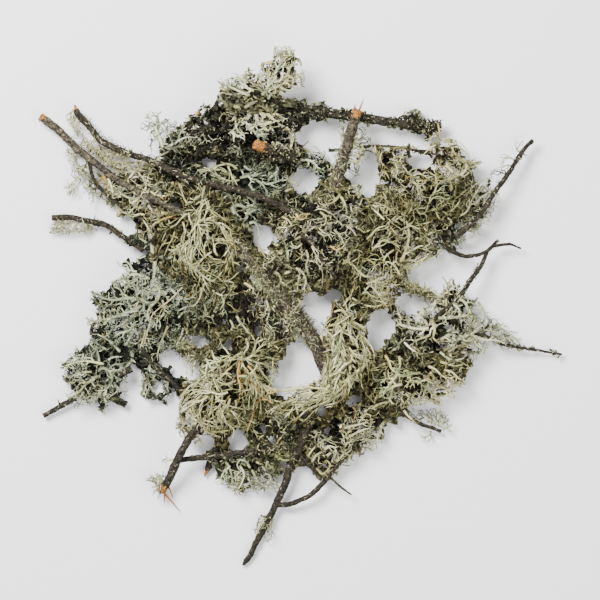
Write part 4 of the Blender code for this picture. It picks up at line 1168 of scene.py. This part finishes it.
def splinter_end(cap, axis, radius):
    """Pulls the broken end's rings in and out into a ragged break."""
    near = {vert for face in {f for v in cap.verts for f in v.link_faces} for vert in face.verts}
    near |= {vert for start in list(near) for edge in start.link_edges for vert in edge.verts}
    for vert in near:
        place = vert.co / MM
        pull = noise.noise(place * 1.1) * 0.9 + noise.noise(place * 2.7) * 0.5
        vert.co += axis * pull * radius * 0.55 * MM


def make_twig(name):
    points, widths = TWIGS[name]
    widths = BARK_WIDTHS.get(name, widths)
    route = smooth_route(points, 1.3)
    count = len(route) - 1
    seed = sum(map(ord, name))
    radii = []
    for index, point in enumerate(route):
        share = index / count
        swell = 1 + 0.1 * noise.noise(Vector((index * 0.09, seed, 0))) + 0.05 * noise.noise(Vector((index * 0.35, seed, 9)))
        if share > POINTED.get(name, 1.0):
            swell *= 1 - 0.8 * (share - POINTED[name]) / (1 - POINTED[name])
        radii.append((widths[0] + (widths[1] - widths[0]) * share) / 2 * swell)
    needle = name == "pine_needle"
    wander = 0.0 if needle else 0.35
    bent = [
        point + wander * noise.noise_vector(point * 0.11) + wander * 0.4 * noise.noise_vector(point * 0.4)
        for point in route
    ]
    body = bmesh.new()
    add_tube(body, bent, radii, 2 if needle else 4, BROKEN_ENDS.get(name, ()))
    for owner, foot, tip, width, bare in SPURS:
        if owner == name:
            foot, tip = Vector(foot), Vector(tip)
            spur = [foot.lerp(tip, index / 6) + noise.noise_vector(foot + tip * index) * 0.25 for index in range(7)]
            add_tube(body, spur, [width / 2 * (1 - 0.13 * index) for index in range(7)], 3, (), bare)
    mesh = bpy.data.meshes.new(name + "_bark")
    body.to_mesh(mesh)
    body.free()
    piece = bpy.data.objects.new(name + "_bark", mesh)
    bpy.context.scene.collection.objects.link(piece)
    if needle:
        bark = "needle"
    elif name in MOSSY_TWIGS:
        bark = "mossy_bark"
    else:
        bark = "bark" if name in GREY_BROWN_TWIGS else "dark_bark"
    mesh.materials.append(BARKS.get(bark, NEEDLE))
    mesh.materials.append(BROKEN_WOOD)
    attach(piece, "root")
    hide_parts(name)


# Lichens


def photo_place(px, py):
    """A place on the ground in millimetres, from its pixel in the photo."""
    return (px - 300) * 0.7, (307.5 - py) * 0.7


def solid_of(nodes):
    """The points and triangles of some CAD nodes, in millimetres."""
    places, corners = [], []
    for node in nodes:
        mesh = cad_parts[node].data
        mesh.calc_loop_triangles()
        first = len(places)
        places += [vertex.co / MM for vertex in mesh.vertices]
        corners += [tuple(first + vertex for vertex in t.vertices) for t in mesh.loop_triangles]
    return places, corners


def in_opening(x, y):
    for px, py, wide, high in OPENINGS:
        middle_x, middle_y = photo_place(px, py)
        if ((x - middle_x) / (wide * 0.7)) ** 2 + ((y - middle_y) / (high * 0.7)) ** 2 < 1:
            return True
    return False


class Room:
    """The space one lichen fills: how deep each cell lies in its solid, and how crowded it is."""

    def __init__(self, node, strands):
        places, corners = solid_of([node])
        self.tree = BVHTree.FromPolygons(places, corners)
        others = [other for other in LICHENS if other != node and LICHENS[other][2] > 12000]
        others = BVHTree.FromPolygons(*solid_of(others))
        spots = np.array([tuple(place) for place in places])
        low = spots.min(axis=0) - REACH - CELL
        high = spots.max(axis=0) + REACH + CELL
        for strand in strands:
            for px, py in zip(strand[1::2], strand[2::2]):
                x, y = photo_place(px, py)
                low[:2] = np.minimum(low[:2], (x - 2 * CELL, y - 2 * CELL))
                high[:2] = np.maximum(high[:2], (x + 2 * CELL, y + 2 * CELL))
        counts = np.ceil((high - low) / CELL).astype(int)
        self.nx, self.ny, self.nz = (int(count) for count in counts)
        self.x, self.y, self.z = (float(value) for value in low)
        self.area = self.nx * self.ny
        self.depth = []
        self.inner = []
        self.shell = []
        closed = {}
        upwards = Vector((0.013, 0.021, 1)).normalized()
        for iz in range(self.nz):
            for iy in range(self.ny):
                for ix in range(self.nx):
                    place = self.middle_of(len(self.depth))
                    near = self.tree.find_nearest(place, 12.0)
                    reach = near[3] if near[0] is not None else 12.0
                    inside = self.holds(place, upwards)
                    depth = reach if inside else -reach
                    if -REACH < depth < 0:
                        beyond = others.find_nearest(place, BRIDGE - reach)
                        if beyond[0] is not None:
                            depth = 1.6
                    if (ix, iy) not in closed:
                        closed[ix, iy] = in_opening(place.x, place.y)
                    if closed[ix, iy]:
                        depth = CLOSED
                    self.depth.append(depth)
                    if 0 < depth < 5.5 and place.z > 1:
                        (self.inner if depth > 1.5 else self.shell).append((place, depth))
        grid = np.array(self.depth).reshape(self.nz, self.ny, self.nx)
        slopes = np.stack(np.gradient(grid)[::-1], axis=-1).reshape(-1, 3)
        slopes /= -(np.linalg.norm(slopes, axis=1, keepdims=True) + 1e-6)
        self.out = [Vector(slope) for slope in slopes]
        self.crowd = [0.0] * len(self.depth)
        self.cover = [0.0] * self.area
        self.columns = {}
        for cell, depth in enumerate(self.depth):
            if depth > 0.3:
                self.columns.setdefault(cell % self.area, []).append(cell)
        self.floor = float(spots[:, 2].min())
        self.top = float(spots[:, 2].max())
        self.inner = self.inner or self.shell
        self.middle = sum((place for place, _ in self.shell), Vector()) / len(self.shell)
        self.leads = []
        self.nearest = None

    def lead(self, points):
        """Remembers which way a laid lobe runs, and gives its side lobes room."""
        for point in points:
            for x, y, z in product((-CELL, 0, CELL), repeat=3):
                cell = self.cell(point + Vector((x, y, z)))
                if cell >= 0 and self.depth[cell] < 0.4 and self.depth[cell] != CLOSED:
                    self.depth[cell] = 0.4
        for before, point in zip(points, points[1:]):
            self.leads.append((point, (point - before).normalized()))

    def way(self, place):
        """The way that lobes run here: as the nearest laid one, or else away from the middle."""
        if self.nearest is None:
            self.nearest = KDTree(len(self.leads))
            for index, (point, _) in enumerate(self.leads):
                self.nearest.insert(point, index)
            self.nearest.balance()
        outwards = place - self.middle
        outwards.z = 0
        outwards.normalize()
        if self.leads:
            _, index, distance = self.nearest.find(place)
            return outwards.lerp(self.leads[index][1], max(0.0, 1 - distance / 14))
        return outwards

    def holds(self, place, upwards):
        start, hits = place, 0
        while hits < 12:
            hit = self.tree.ray_cast(start, upwards)
            if hit[0] is None:
                break
            hits += 1
            start = hit[0] + upwards * 0.01
        return hits % 2 == 1

    def cell(self, place):
        ix = int((place.x - self.x) / CELL)
        iy = int((place.y - self.y) / CELL)
        iz = int((place.z - self.z) / CELL)
        if 0 <= ix < self.nx and 0 <= iy < self.ny and 0 <= iz < self.nz:
            return ix + self.nx * (iy + self.ny * iz)
        return -1

    def middle_of(self, cell):
        ix, iy, iz = cell % self.nx, cell // self.nx % self.ny, cell // self.area
        return Vector((self.x + (ix + 0.5) * CELL, self.y + (iy + 0.5) * CELL, self.z + (iz + 0.5) * CELL))

    def height_at(self, x, y):
        """The height of the solid's upper side, or of its nearest part beyond its edge."""
        hit = self.tree.ray_cast(Vector((x, y, 200)), Vector((0, 0, -1)))
        if hit[0] is not None:
            return hit[0].z
        near = self.tree.find_nearest(Vector((x, y, self.floor * 0.4 + self.top * 0.6)))
        return near[0].z


def turned(heading, rng, spread):
    """The heading turned by a random angle of about spread."""
    side = Vector((rng.gauss(0, 1), rng.gauss(0, 1), rng.gauss(0, 1)))
    side -= heading * side.dot(heading)
    return (heading + side * (spread * 0.7)).normalized()


def tint_at(place, rng):
    """Neighbouring lobes share a tint: grey-green, plain, yellow or bleached, and rusty in a few spots."""
    for px, py, reach in RUSTY_SPOTS:
        x, y = photo_place(px, py)
        if math.hypot(place.x - x, place.y - y) < reach * 0.7 and rng.random() < 0.55:
            return 4
    value = noise.noise(place * 0.06) * 1.1 + rng.gauss(0, 0.3)
    if rng.random() < 0.004:
        return 4
    return 0 if value < -0.25 else 1 if value < 0.2 else 2 if value < 0.55 else 3


def grow(room, rng, kind, start, heading, normal, order, width, along, paths, aim):
    """Grows a lobe and its forks to where there is room, about aim millimetres deep. Returns its triangles."""
    start = Vector((start.x, start.y, max(start.z, 0.4 + width * 0.6)))
    waiting = [(start, heading, normal, order, width, along)]
    # Old lobes count as lying deeper, which darkens their tone: painted shade, partly old growth's own colour.
    painted_shade_depth = room.old_growth_shade if kind is OLD_AND_SHADE else 0.0
    tint = tint_at(start, rng)
    made = 0
    while waiting:
        point, heading, normal, order, width, along = waiting.pop()
        cell = room.cell(point)
        points, ups, depths = [point], [normal], [room.depth[cell] + painted_shade_depth if cell >= 0 else painted_shade_depth]
        last = order <= 0
        steps = rng.randint(*kind.steps)
        step = kind.step * (0.85 if last else 1.0)
        least = TIP_ROOM if last else LEAST_ROOM
        lost = False
        for _ in range(steps):
            best, best_score = None, -1e9
            for _ in range(3):
                trial_heading = turned(heading, rng, kind.curl)
                trial_heading.z += kind.rise
                trial_heading.normalize()
                trial = point + trial_heading * step
                cell = room.cell(trial)
                if cell < 0 or trial.z < 0.3 + width * 0.6:
                    continue
                depth = room.depth[cell]
                score = rng.random() * 0.8 - room.crowd[cell] * 0.5
                if not last:
                    score -= abs(depth - aim) * 0.35
                if depth > least and score > best_score:
                    best, best_score = (trial, trial_heading, cell), score
            if best is None:
                lost = True
                break
            point, heading, cell = best
            out = room.out[cell]
            if aim < 3 and not last:
                heading = (heading - out * (heading.dot(out) * 0.4)).normalized()
            normal = normal + out * 0.25 + Vector((0, 0, 0.1))
            normal = (normal - heading * normal.dot(heading)).normalized()
            normal = turned(normal, rng, kind.twist * 0.5)
            room.crowd[cell] += 0.3 + width * 0.25
            room.cover[cell % room.area] += width * step
            points.append(point)
            ups.append(normal)
            depths.append(room.depth[cell] + painted_shade_depth)
        if len(points) < 2:
            continue
        count = len(points)
        end = along + (1 - along) * (0.35 if not last else 1.0)
        tip = lost or last
        narrow = kind.tip if tip else kind.taper
        shares = [index / (count - 1) for index in range(count)]
        widths = [width * (1 + (narrow - 1) * (share ** 1.6 if tip else share)) for share in shares]
        paths.append((points, ups, widths, [along + (end - along) * share for share in shares], kind, depths, tint))
        made += 6 * count - 4
        if tip:
            continue
        normal = (normal - heading * normal.dot(heading)).normalized()
        side = heading.cross(normal)
        forks = (1, -1) if rng.random() < 0.85 else (rng.choice((1, -1)), 0)
        for way in forks:
            angle = kind.angle * way * rng.uniform(0.6, 1.3)
            branch = heading * math.cos(angle) + side * math.sin(angle)
            foot = point - heading * width * 0.35
            wide = width * kind.taper * rng.uniform(0.85, 1.0)
            waiting.append((foot, branch.normalized(), normal, order - 1, wide, end))
    return made


def plant(room, rng, kind, budget, aim, paths):
    """Starts lobes in the emptiest places about aim millimetres deep until the budget is used."""
    used = 0
    places = room.inner if aim > 2.5 else room.shell
    while used < budget:
        best, best_score = None, 1e9
        for _ in range(8):
            place, depth = rng.choice(places)
            cell = room.cell(place)
            score = room.crowd[cell] * 0.6 + abs(depth - aim) * 0.15 + room.cover[cell % room.area] * THIN
            if score < best_score:
                best, best_score = (place, cell), score
        place, cell = best
        out = room.out[cell]
        heading = Vector((rng.gauss(0, 0.55), rng.gauss(0, 0.55), rng.gauss(0, 0.5))) + room.way(place)
        heading -= out * heading.dot(out) * 0.8
        heading.normalize()
        normal = out + Vector((rng.gauss(0, 0.2), rng.gauss(0, 0.2), 0.4))
        normal = (normal - heading * normal.dot(heading)).normalized()
        jitter = Vector((rng.uniform(-1, 1), rng.uniform(-1, 1), rng.uniform(-1, 1))) * CELL * 0.5
        width = kind.width * rng.uniform(0.75, 1.15)
        used += grow(room, rng, kind, place + jitter, heading, normal, kind.orders, width, 0.0, paths, aim)


def plant_old_and_shade(room, rng, budget, paths):
    """The old dark growth low in a lichen, spread so evenly that little ground shows through: partly old growth's own
    colour, partly painted shade.
    """
    used = 0
    spots = list(room.columns)
    while used < budget:
        spot = min((rng.choice(spots) for _ in range(8)), key=lambda spot: room.cover[spot])
        column = room.columns[spot]
        cell = column[int(len(column) * rng.uniform(0.1, 0.55))]
        place = room.middle_of(cell)
        heading = Vector((rng.gauss(0, 1), rng.gauss(0, 1), 0)).normalized()
        normal = Vector((0, 0, 1))
        used += grow(room, rng, OLD_AND_SHADE, place, heading, normal, OLD_AND_SHADE.orders, OLD_AND_SHADE.width, 0.0, paths, 2.0)


def mark(seen, path):
    """Marks the squares of the ground that a lobe covers."""
    for point, width in zip(path[0], path[2]):
        reach = width * 0.3
        for dx, dy in ((0, 0), (reach, 0), (-reach, 0), (0, reach), (0, -reach)):
            seen.add((round((point.x + dx) / GAP), round((point.y + dy) / GAP)))


def fill_gaps_with_shade(room, rng, paths):
    """Old dark lobes low down wherever the ground would show between the others: partly old growth's own colour, partly
    painted shade in the gaps.
    """
    seen = set()
    for path in paths:
        mark(seen, path)
    spots = list(room.columns)
    rng.shuffle(spots)
    for spot in spots:
        column = room.columns[spot]
        middle = room.middle_of(column[int(len(column) * 0.35)])
        for dx, dy in product((-0.8, 0.0, 0.8), repeat=2):
            if (round((middle.x + dx) / GAP), round((middle.y + dy) / GAP)) in seen:
                continue
            place = middle + Vector((dx, dy, rng.uniform(-1, 1)))
            heading = Vector((rng.gauss(0, 1), rng.gauss(0, 1), 0)).normalized()
            first = len(paths)
            grow(room, rng, OLD_AND_SHADE, place - heading, heading, Vector((0, 0, 1)), 1, OLD_AND_SHADE.width, 0.0, paths, 2.0)
            for path in paths[first:]:
                mark(seen, path)


def lay_strand(room, rng, kind, strand, paths):
    """Lays one lobe along its points over the solid, with side lobes and a forked tip."""
    width, flat = strand[0], strand[1:]
    lift = rng.uniform(-0.8, 1.6)
    stout = 0.64 if kind in (RIBBON, FLOWING) else 0.8
    knots = []
    for px, py in zip(flat[::2], flat[1::2]):
        x, y = photo_place(px, py)
        knots.append(Vector((x, y, room.height_at(x, y))))
    route = smooth_route(knots, 2.0)
    heights = [point.z for point in route]
    for index, point in enumerate(route):
        near = heights[max(0, index - 3) : index + 4]
        point.z = max(1.0, sum(near) / len(near) + lift + 0.5 * noise.noise(point * 0.2))
    count = len(route)
    points, ups, depths, widths, along = route, [], [], [], []
    room.lead(points)
    for index, point in enumerate(points):
        heading = (points[min(index + 1, count - 1)] - points[max(index - 1, 0)]).normalized()
        lean = noise.noise_vector(point * 0.12 + Vector((width, lift, 0))) * 0.7
        up = Vector((0, 0, 1)) + lean
        ups.append((up - heading * up.dot(heading)).normalized())
        cell = room.cell(point)
        depths.append(LAID)
        share = index / (count - 1)
        widths.append(width * stout * (1.0 - 0.5 * share) * (1 + 0.3 * noise.noise(point * 0.35)))
        along.append(0.6 * share)
        if cell >= 0:
            room.crowd[cell] += 0.6 + width * 0.3
    paths.append((points, ups, widths, along, kind, depths, tint_at(points[0], rng)))
    made = 6 * count
    reach, way = rng.uniform(0.4, 1.0) * kind.sprout, rng.choice((1, -1))
    for index in range(1, count - 1):
        reach -= (points[index] - points[index - 1]).length
        if reach > 0:
            continue
        reach, way = kind.sprout * rng.uniform(0.7, 1.3), -way
        heading = (points[index + 1] - points[index - 1]).normalized()
        side = heading.cross(ups[index])
        angle = kind.angle * way * rng.uniform(0.9, 1.5)
        branch = heading * math.cos(angle) + side * math.sin(angle)
        wide = min(widths[index] * 0.68, kind.width)
        foot = points[index] - ups[index] * 0.1
        order = rng.choice((1, 2, 2, 3))
        made += grow(room, rng, kind, foot, branch, ups[index], order, wide, along[index], paths, 0.8)
    heading = (points[-1] - points[-2]).normalized()
    side = heading.cross(ups[-1])
    for way in (1, -1):
        branch = heading * math.cos(kind.angle * 0.8) + side * math.sin(kind.angle * 0.8) * way
        foot = points[-1] - heading * widths[-1] * 0.4
        made += grow(room, rng, kind, foot, branch, ups[-1], rng.choice((1, 2)), widths[-1] * 0.82, 0.6, paths, 0.4)
    return made


def strap_mesh(name, paths, edge_shading, rng):
    """Joins all the lobes into one mesh: closed straps with a flat underside and a low ridge on top."""
    corners = 3
    alike = {}
    for path in paths:
        alike.setdefault(len(path[0]), []).append(path)
    all_verts, all_loops, all_uvs, all_sizes, all_places = [], [], [], [], []
    first = 0
    for count, group in sorted(alike.items()):
        points = np.array([[tuple(p) for p in path[0]] for path in group])
        ups = np.array([[tuple(u) for u in path[1]] for path in group])
        widths = np.array([path[2] for path in group])
        tint = np.array([path[6] for path in group])[:, None]
        along = (tint + 0.03 + 0.94 * np.clip(np.array([path[3] for path in group]), 0, 1)) / TINTS
        thick = np.array([path[4].thick for path in group])[:, None, None]
        droop = np.array([path[4].droop for path in group])[:, None, None]
        depths = np.array([path[5] for path in group])
        tangents = np.gradient(points, axis=1)
        tangents /= np.linalg.norm(tangents, axis=2, keepdims=True) + 1e-9
        sides = np.cross(tangents, ups)
        sides /= np.linalg.norm(sides, axis=2, keepdims=True) + 1e-9
        ups = np.cross(sides, tangents)
        half = widths[:, :, None] / 2
        thickness = np.maximum(half * thick, 0.1)
        left = points - sides * half - ups * half * droop * 2
        right = points + sides * half - ups * half * droop * 2
        ring = [left, points + ups * thickness, right]
        verts = np.stack(ring, axis=2)
        total = len(group) * count * corners
        index = first + np.arange(total).reshape(len(group), count, corners)
        here, after = index[:, :-1], index[:, 1:]
        quads = np.stack(
            [
                np.stack([here[..., k], here[..., k - corners + 1], after[..., k - corners + 1], after[..., k]], -1)
                for k in range(corners)
            ],
            axis=2,
        )
        caps = np.stack([index[:, 0, ::-1], index[:, -1]], axis=1)
        chance = np.array([rng.random() for _ in group])[:, None]
        # Tone falls with depth inside the solid: painted shade in the tangle's interior, and the outermost lobes reach
        # the light end of the ramp as a painted highlight. Chance spreads the tones at random; laid lobes lie on top
        # and get mid to light tones.
        tone = 0.60 - 0.19 * np.maximum(depths - 0.3, 0) + 0.55 * (chance - 0.62)
        tone = np.where(depths == LAID, 0.46 + 0.2 * chance, tone)
        tone = np.clip(tone, 0.02, 0.66)
        # Edges take a share of the tone: painted shade along the borders, lighter edges on the leafy crust.
        edge_shading_tone = np.minimum(tone * edge_shading, 0.68)
        under = UNDER_TONES + 0.2 * chance + 0 * tone
        u0, u1 = along[:, :-1], along[:, 1:]
        pairs = [(edge_shading_tone, tone), (tone, edge_shading_tone), (under, under + 0.01)]
        strips = []
        for one, other in pairs:
            spots = ((u0, one[:, :-1]), (u0, other[:, :-1]), (u1, other[:, 1:]), (u1, one[:, 1:]))
            strips.append(np.stack([np.stack(spot, -1) for spot in spots], axis=2))
        uvs = np.stack(strips, axis=2)
        corner = np.array([[0, 0], [0.002, 0], [0.002, 0.01]])
        cap_uv = np.zeros((len(group), 2, corners, 2))
        cap_uv[:, 0] = np.stack([along[:, 0], tone[:, 0]], -1)[:, None] + corner
        cap_uv[:, 1] = np.stack([along[:, -1] - 0.002, tone[:, -1]], -1)[:, None] + corner
        all_verts.append(verts.reshape(-1, 3))
        all_places.append(np.tile(np.arange(corners), len(group) * count))
        all_loops += [quads.ravel(), caps.ravel()]
        all_sizes += [np.full(quads.size // 4, 4), np.full(caps.size // corners, corners)]
        all_uvs += [uvs.reshape(-1, 2), np.clip(cap_uv, 0, 1).reshape(-1, 2)]
        first += total
    verts = np.concatenate(all_verts) * MM
    loops = np.concatenate(all_loops).astype(np.int32)
    sizes = np.concatenate(all_sizes)
    starts = np.concatenate([[0], np.cumsum(sizes)[:-1]]).astype(np.int32)
    mesh = bpy.data.meshes.new(name)
    mesh.vertices.add(len(verts))
    mesh.vertices.foreach_set("co", verts.astype(np.float32).ravel())
    mesh.loops.add(len(loops))
    mesh.loops.foreach_set("vertex_index", loops)
    mesh.polygons.add(len(sizes))
    mesh.polygons.foreach_set("loop_start", starts)
    layer = mesh.uv_layers.new(name="OFBake", do_init=False)
    layer.data.foreach_set("uv", np.concatenate(all_uvs).astype(np.float32).ravel())
    mesh.update(calc_edges=True)
    mesh.validate()
    mesh.shade_smooth()
    # Both edges of a ribbon stay sharp.
    ends = np.empty(len(mesh.edges) * 2, dtype=np.int32)
    mesh.edges.foreach_get("vertices", ends)
    sides_of = np.concatenate(all_places)[ends.reshape(-1, 2)]
    sharp = (sides_of[:, 0] == sides_of[:, 1]) & (sides_of[:, 0] % 2 == 0)
    mesh.attributes.new("sharp_edge", "BOOLEAN", "EDGE").data.foreach_set("value", sharp)
    return mesh


def finish_lichen(name, node, paths, finish, rng):
    mesh = strap_mesh(name, paths, EDGE_SHADING.get(finish, 0.62), rng)
    mesh.materials.append(LICHEN_FINISHES[finish])
    piece = bpy.data.objects.new(name, mesh)
    bpy.context.scene.collection.objects.link(piece)
    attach(piece, "root")
    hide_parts(node)
    return sum(len(polygon.vertices) - 2 for polygon in mesh.polygons)


def make_lichen(name):
    finish, kinds, budget = LICHENS[name]
    budget *= GROWTH
    rng = random.Random(name)
    strands = STRANDS.get(name, ())
    room = Room(name, strands)
    room.old_growth_shade = OLD_GROWTH_SHADE.get(finish, 0.4)
    paths = []
    laid = 0
    for strand in strands:
        laid += lay_strand(room, rng, kinds[0][0], strand, paths)
    if name not in AIRY:
        plant_old_and_shade(room, rng, budget * 0.06, paths)
        for kind, share in kinds:
            plant(room, rng, kind, budget * share * 0.28, 2.4, paths)
    rest = max(budget * 0.48 - laid, budget * 0.18)
    for kind, share in kinds:
        plant(room, rng, kind, rest * share, 1.0, paths)
    if name not in AIRY:
        fill_gaps_with_shade(room, rng, paths)
    made = finish_lichen(name + "_lobes", name, paths, finish, rng)
    print(name, "laid", laid, "of", made)
    return made


class OpenAir:
    """Room for the small lobes on a twig: free on all sides of its bark."""

    def __init__(self, route, radius, reach):
        self.route, self.radius, self.reach = route, radius, reach
        self.cells = {}
        self.depth, self.crowd, self.out = [], [], []
        self.area, self.cover = 1, [0.0]
        self.old_growth_shade = 0.0

    def cell(self, place):
        key = (round(place.x / CELL), round(place.y / CELL), round(place.z / CELL))
        if key not in self.cells:
            near = min(self.route, key=lambda point: (point - place).length_squared)
            away = place - near
            self.cells[key] = len(self.depth)
            self.depth.append(0.5 if away.length < self.radius + self.reach else -9.0)
            self.crowd.append(0.0)
            self.out.append(away.normalized())
        return self.cells[key]


def tuft_twig(name):
    """Small lobes that grow on a twig's bark."""
    finish, kind, count, start, end, reach = TUFTED_TWIGS[name]
    kind = {"FINE": FINE, "BROAD": BROAD, "LEAFY": LEAFY, "MOSSY": MOSSY}[kind]
    points, widths = TWIGS[name]
    route = smooth_route(points, 1.5)
    rng = random.Random(name)
    room = OpenAir(route, sum(widths) / 4, reach)
    paths = []
    for _ in range(count):
        share = start + (end - start) * rng.random()
        index = min(int(share * (len(route) - 1)), len(route) - 2)
        if noise.noise(route[index] * 0.12) < -0.12:
            continue
        axis = (route[index + 1] - route[index]).normalized()
        out = Vector((rng.gauss(0, 1), rng.gauss(0, 1), rng.gauss(0.2, 1)))
        out = (out - axis * out.dot(axis)).normalized()
        radius = (widths[0] + (widths[1] - widths[0]) * share) / 2
        foot = route[index] + out * radius * 0.9
        heading = (out * rng.uniform(0.3, 1.0) + axis * rng.gauss(0, 0.7)).normalized()
        normal = (axis.cross(heading) + out * 0.5).normalized()
        grow(room, rng, kind, foot, heading, normal, 1, kind.width * rng.uniform(0.5, 0.9), 0.2, paths, 0.5)
    return finish_lichen(name + "_tufts", name, paths, finish, rng)


# Stage


def make_stage():
    body = bmesh.new()
    bmesh.ops.create_grid(body, x_segments=1, y_segments=1, size=2.5)
    mesh = bpy.data.meshes.new("floor")
    body.to_mesh(mesh)
    body.free()
    floor = bpy.data.objects.new("floor", mesh)
    bpy.context.scene.collection.objects.link(floor)
    material, _, shader = principled("floor", 0.9, 0.1)
    shader.inputs["Base Color"].default_value = (0.94, 0.94, 0.94, 1.0)
    mesh.materials.append(material)

    world = bpy.data.worlds.new("studio")
    bpy.context.scene.world = world
    world.use_nodes = True
    sky = world.node_tree.nodes["Background"]
    sky.inputs["Color"].default_value = (1.0, 1.0, 1.0, 1.0)
    sky.inputs["Strength"].default_value = 0.78

    for name, place, size, power in (
        ("key", (-0.8, 0.9, 1.5), 0.8, 96.0),
        ("fill", (1.1, -0.7, 1.6), 1.2, 25.0),
    ):
        light = bpy.data.lights.new(name, "AREA")
        light.size = size
        light.energy = power
        lamp = bpy.data.objects.new(name, light)
        lamp.location = place
        lamp.rotation_euler = (-Vector(place)).to_track_quat("-Z", "Y").to_euler()
        bpy.context.scene.collection.objects.link(lamp)


def make_camera():
    """Straight above and far away. A pixel of the 600-pixel frame is 0.7 mm at the tangle's middle."""
    height, level, frame_width = 6.0, 0.015, 0.42
    camera = bpy.data.cameras.new("camera")
    camera.sensor_width = 36.0
    camera.lens = 36.0 * (height - level) / frame_width
    view = bpy.data.objects.new("camera", camera)
    view.location = (0.0, 0.00525, height)
    camera.clip_end = 50.0
    bpy.context.scene.collection.objects.link(view)
    bpy.context.scene.camera = view


make_stage()
make_camera()
for twig_name in TWIGS:
    make_twig(twig_name)
triangles = sum(make_lichen(lichen_name) for lichen_name in LICHENS)
triangles += sum(tuft_twig(twig_name) for twig_name in TUFTED_TWIGS)
print("lichen triangles", triangles)
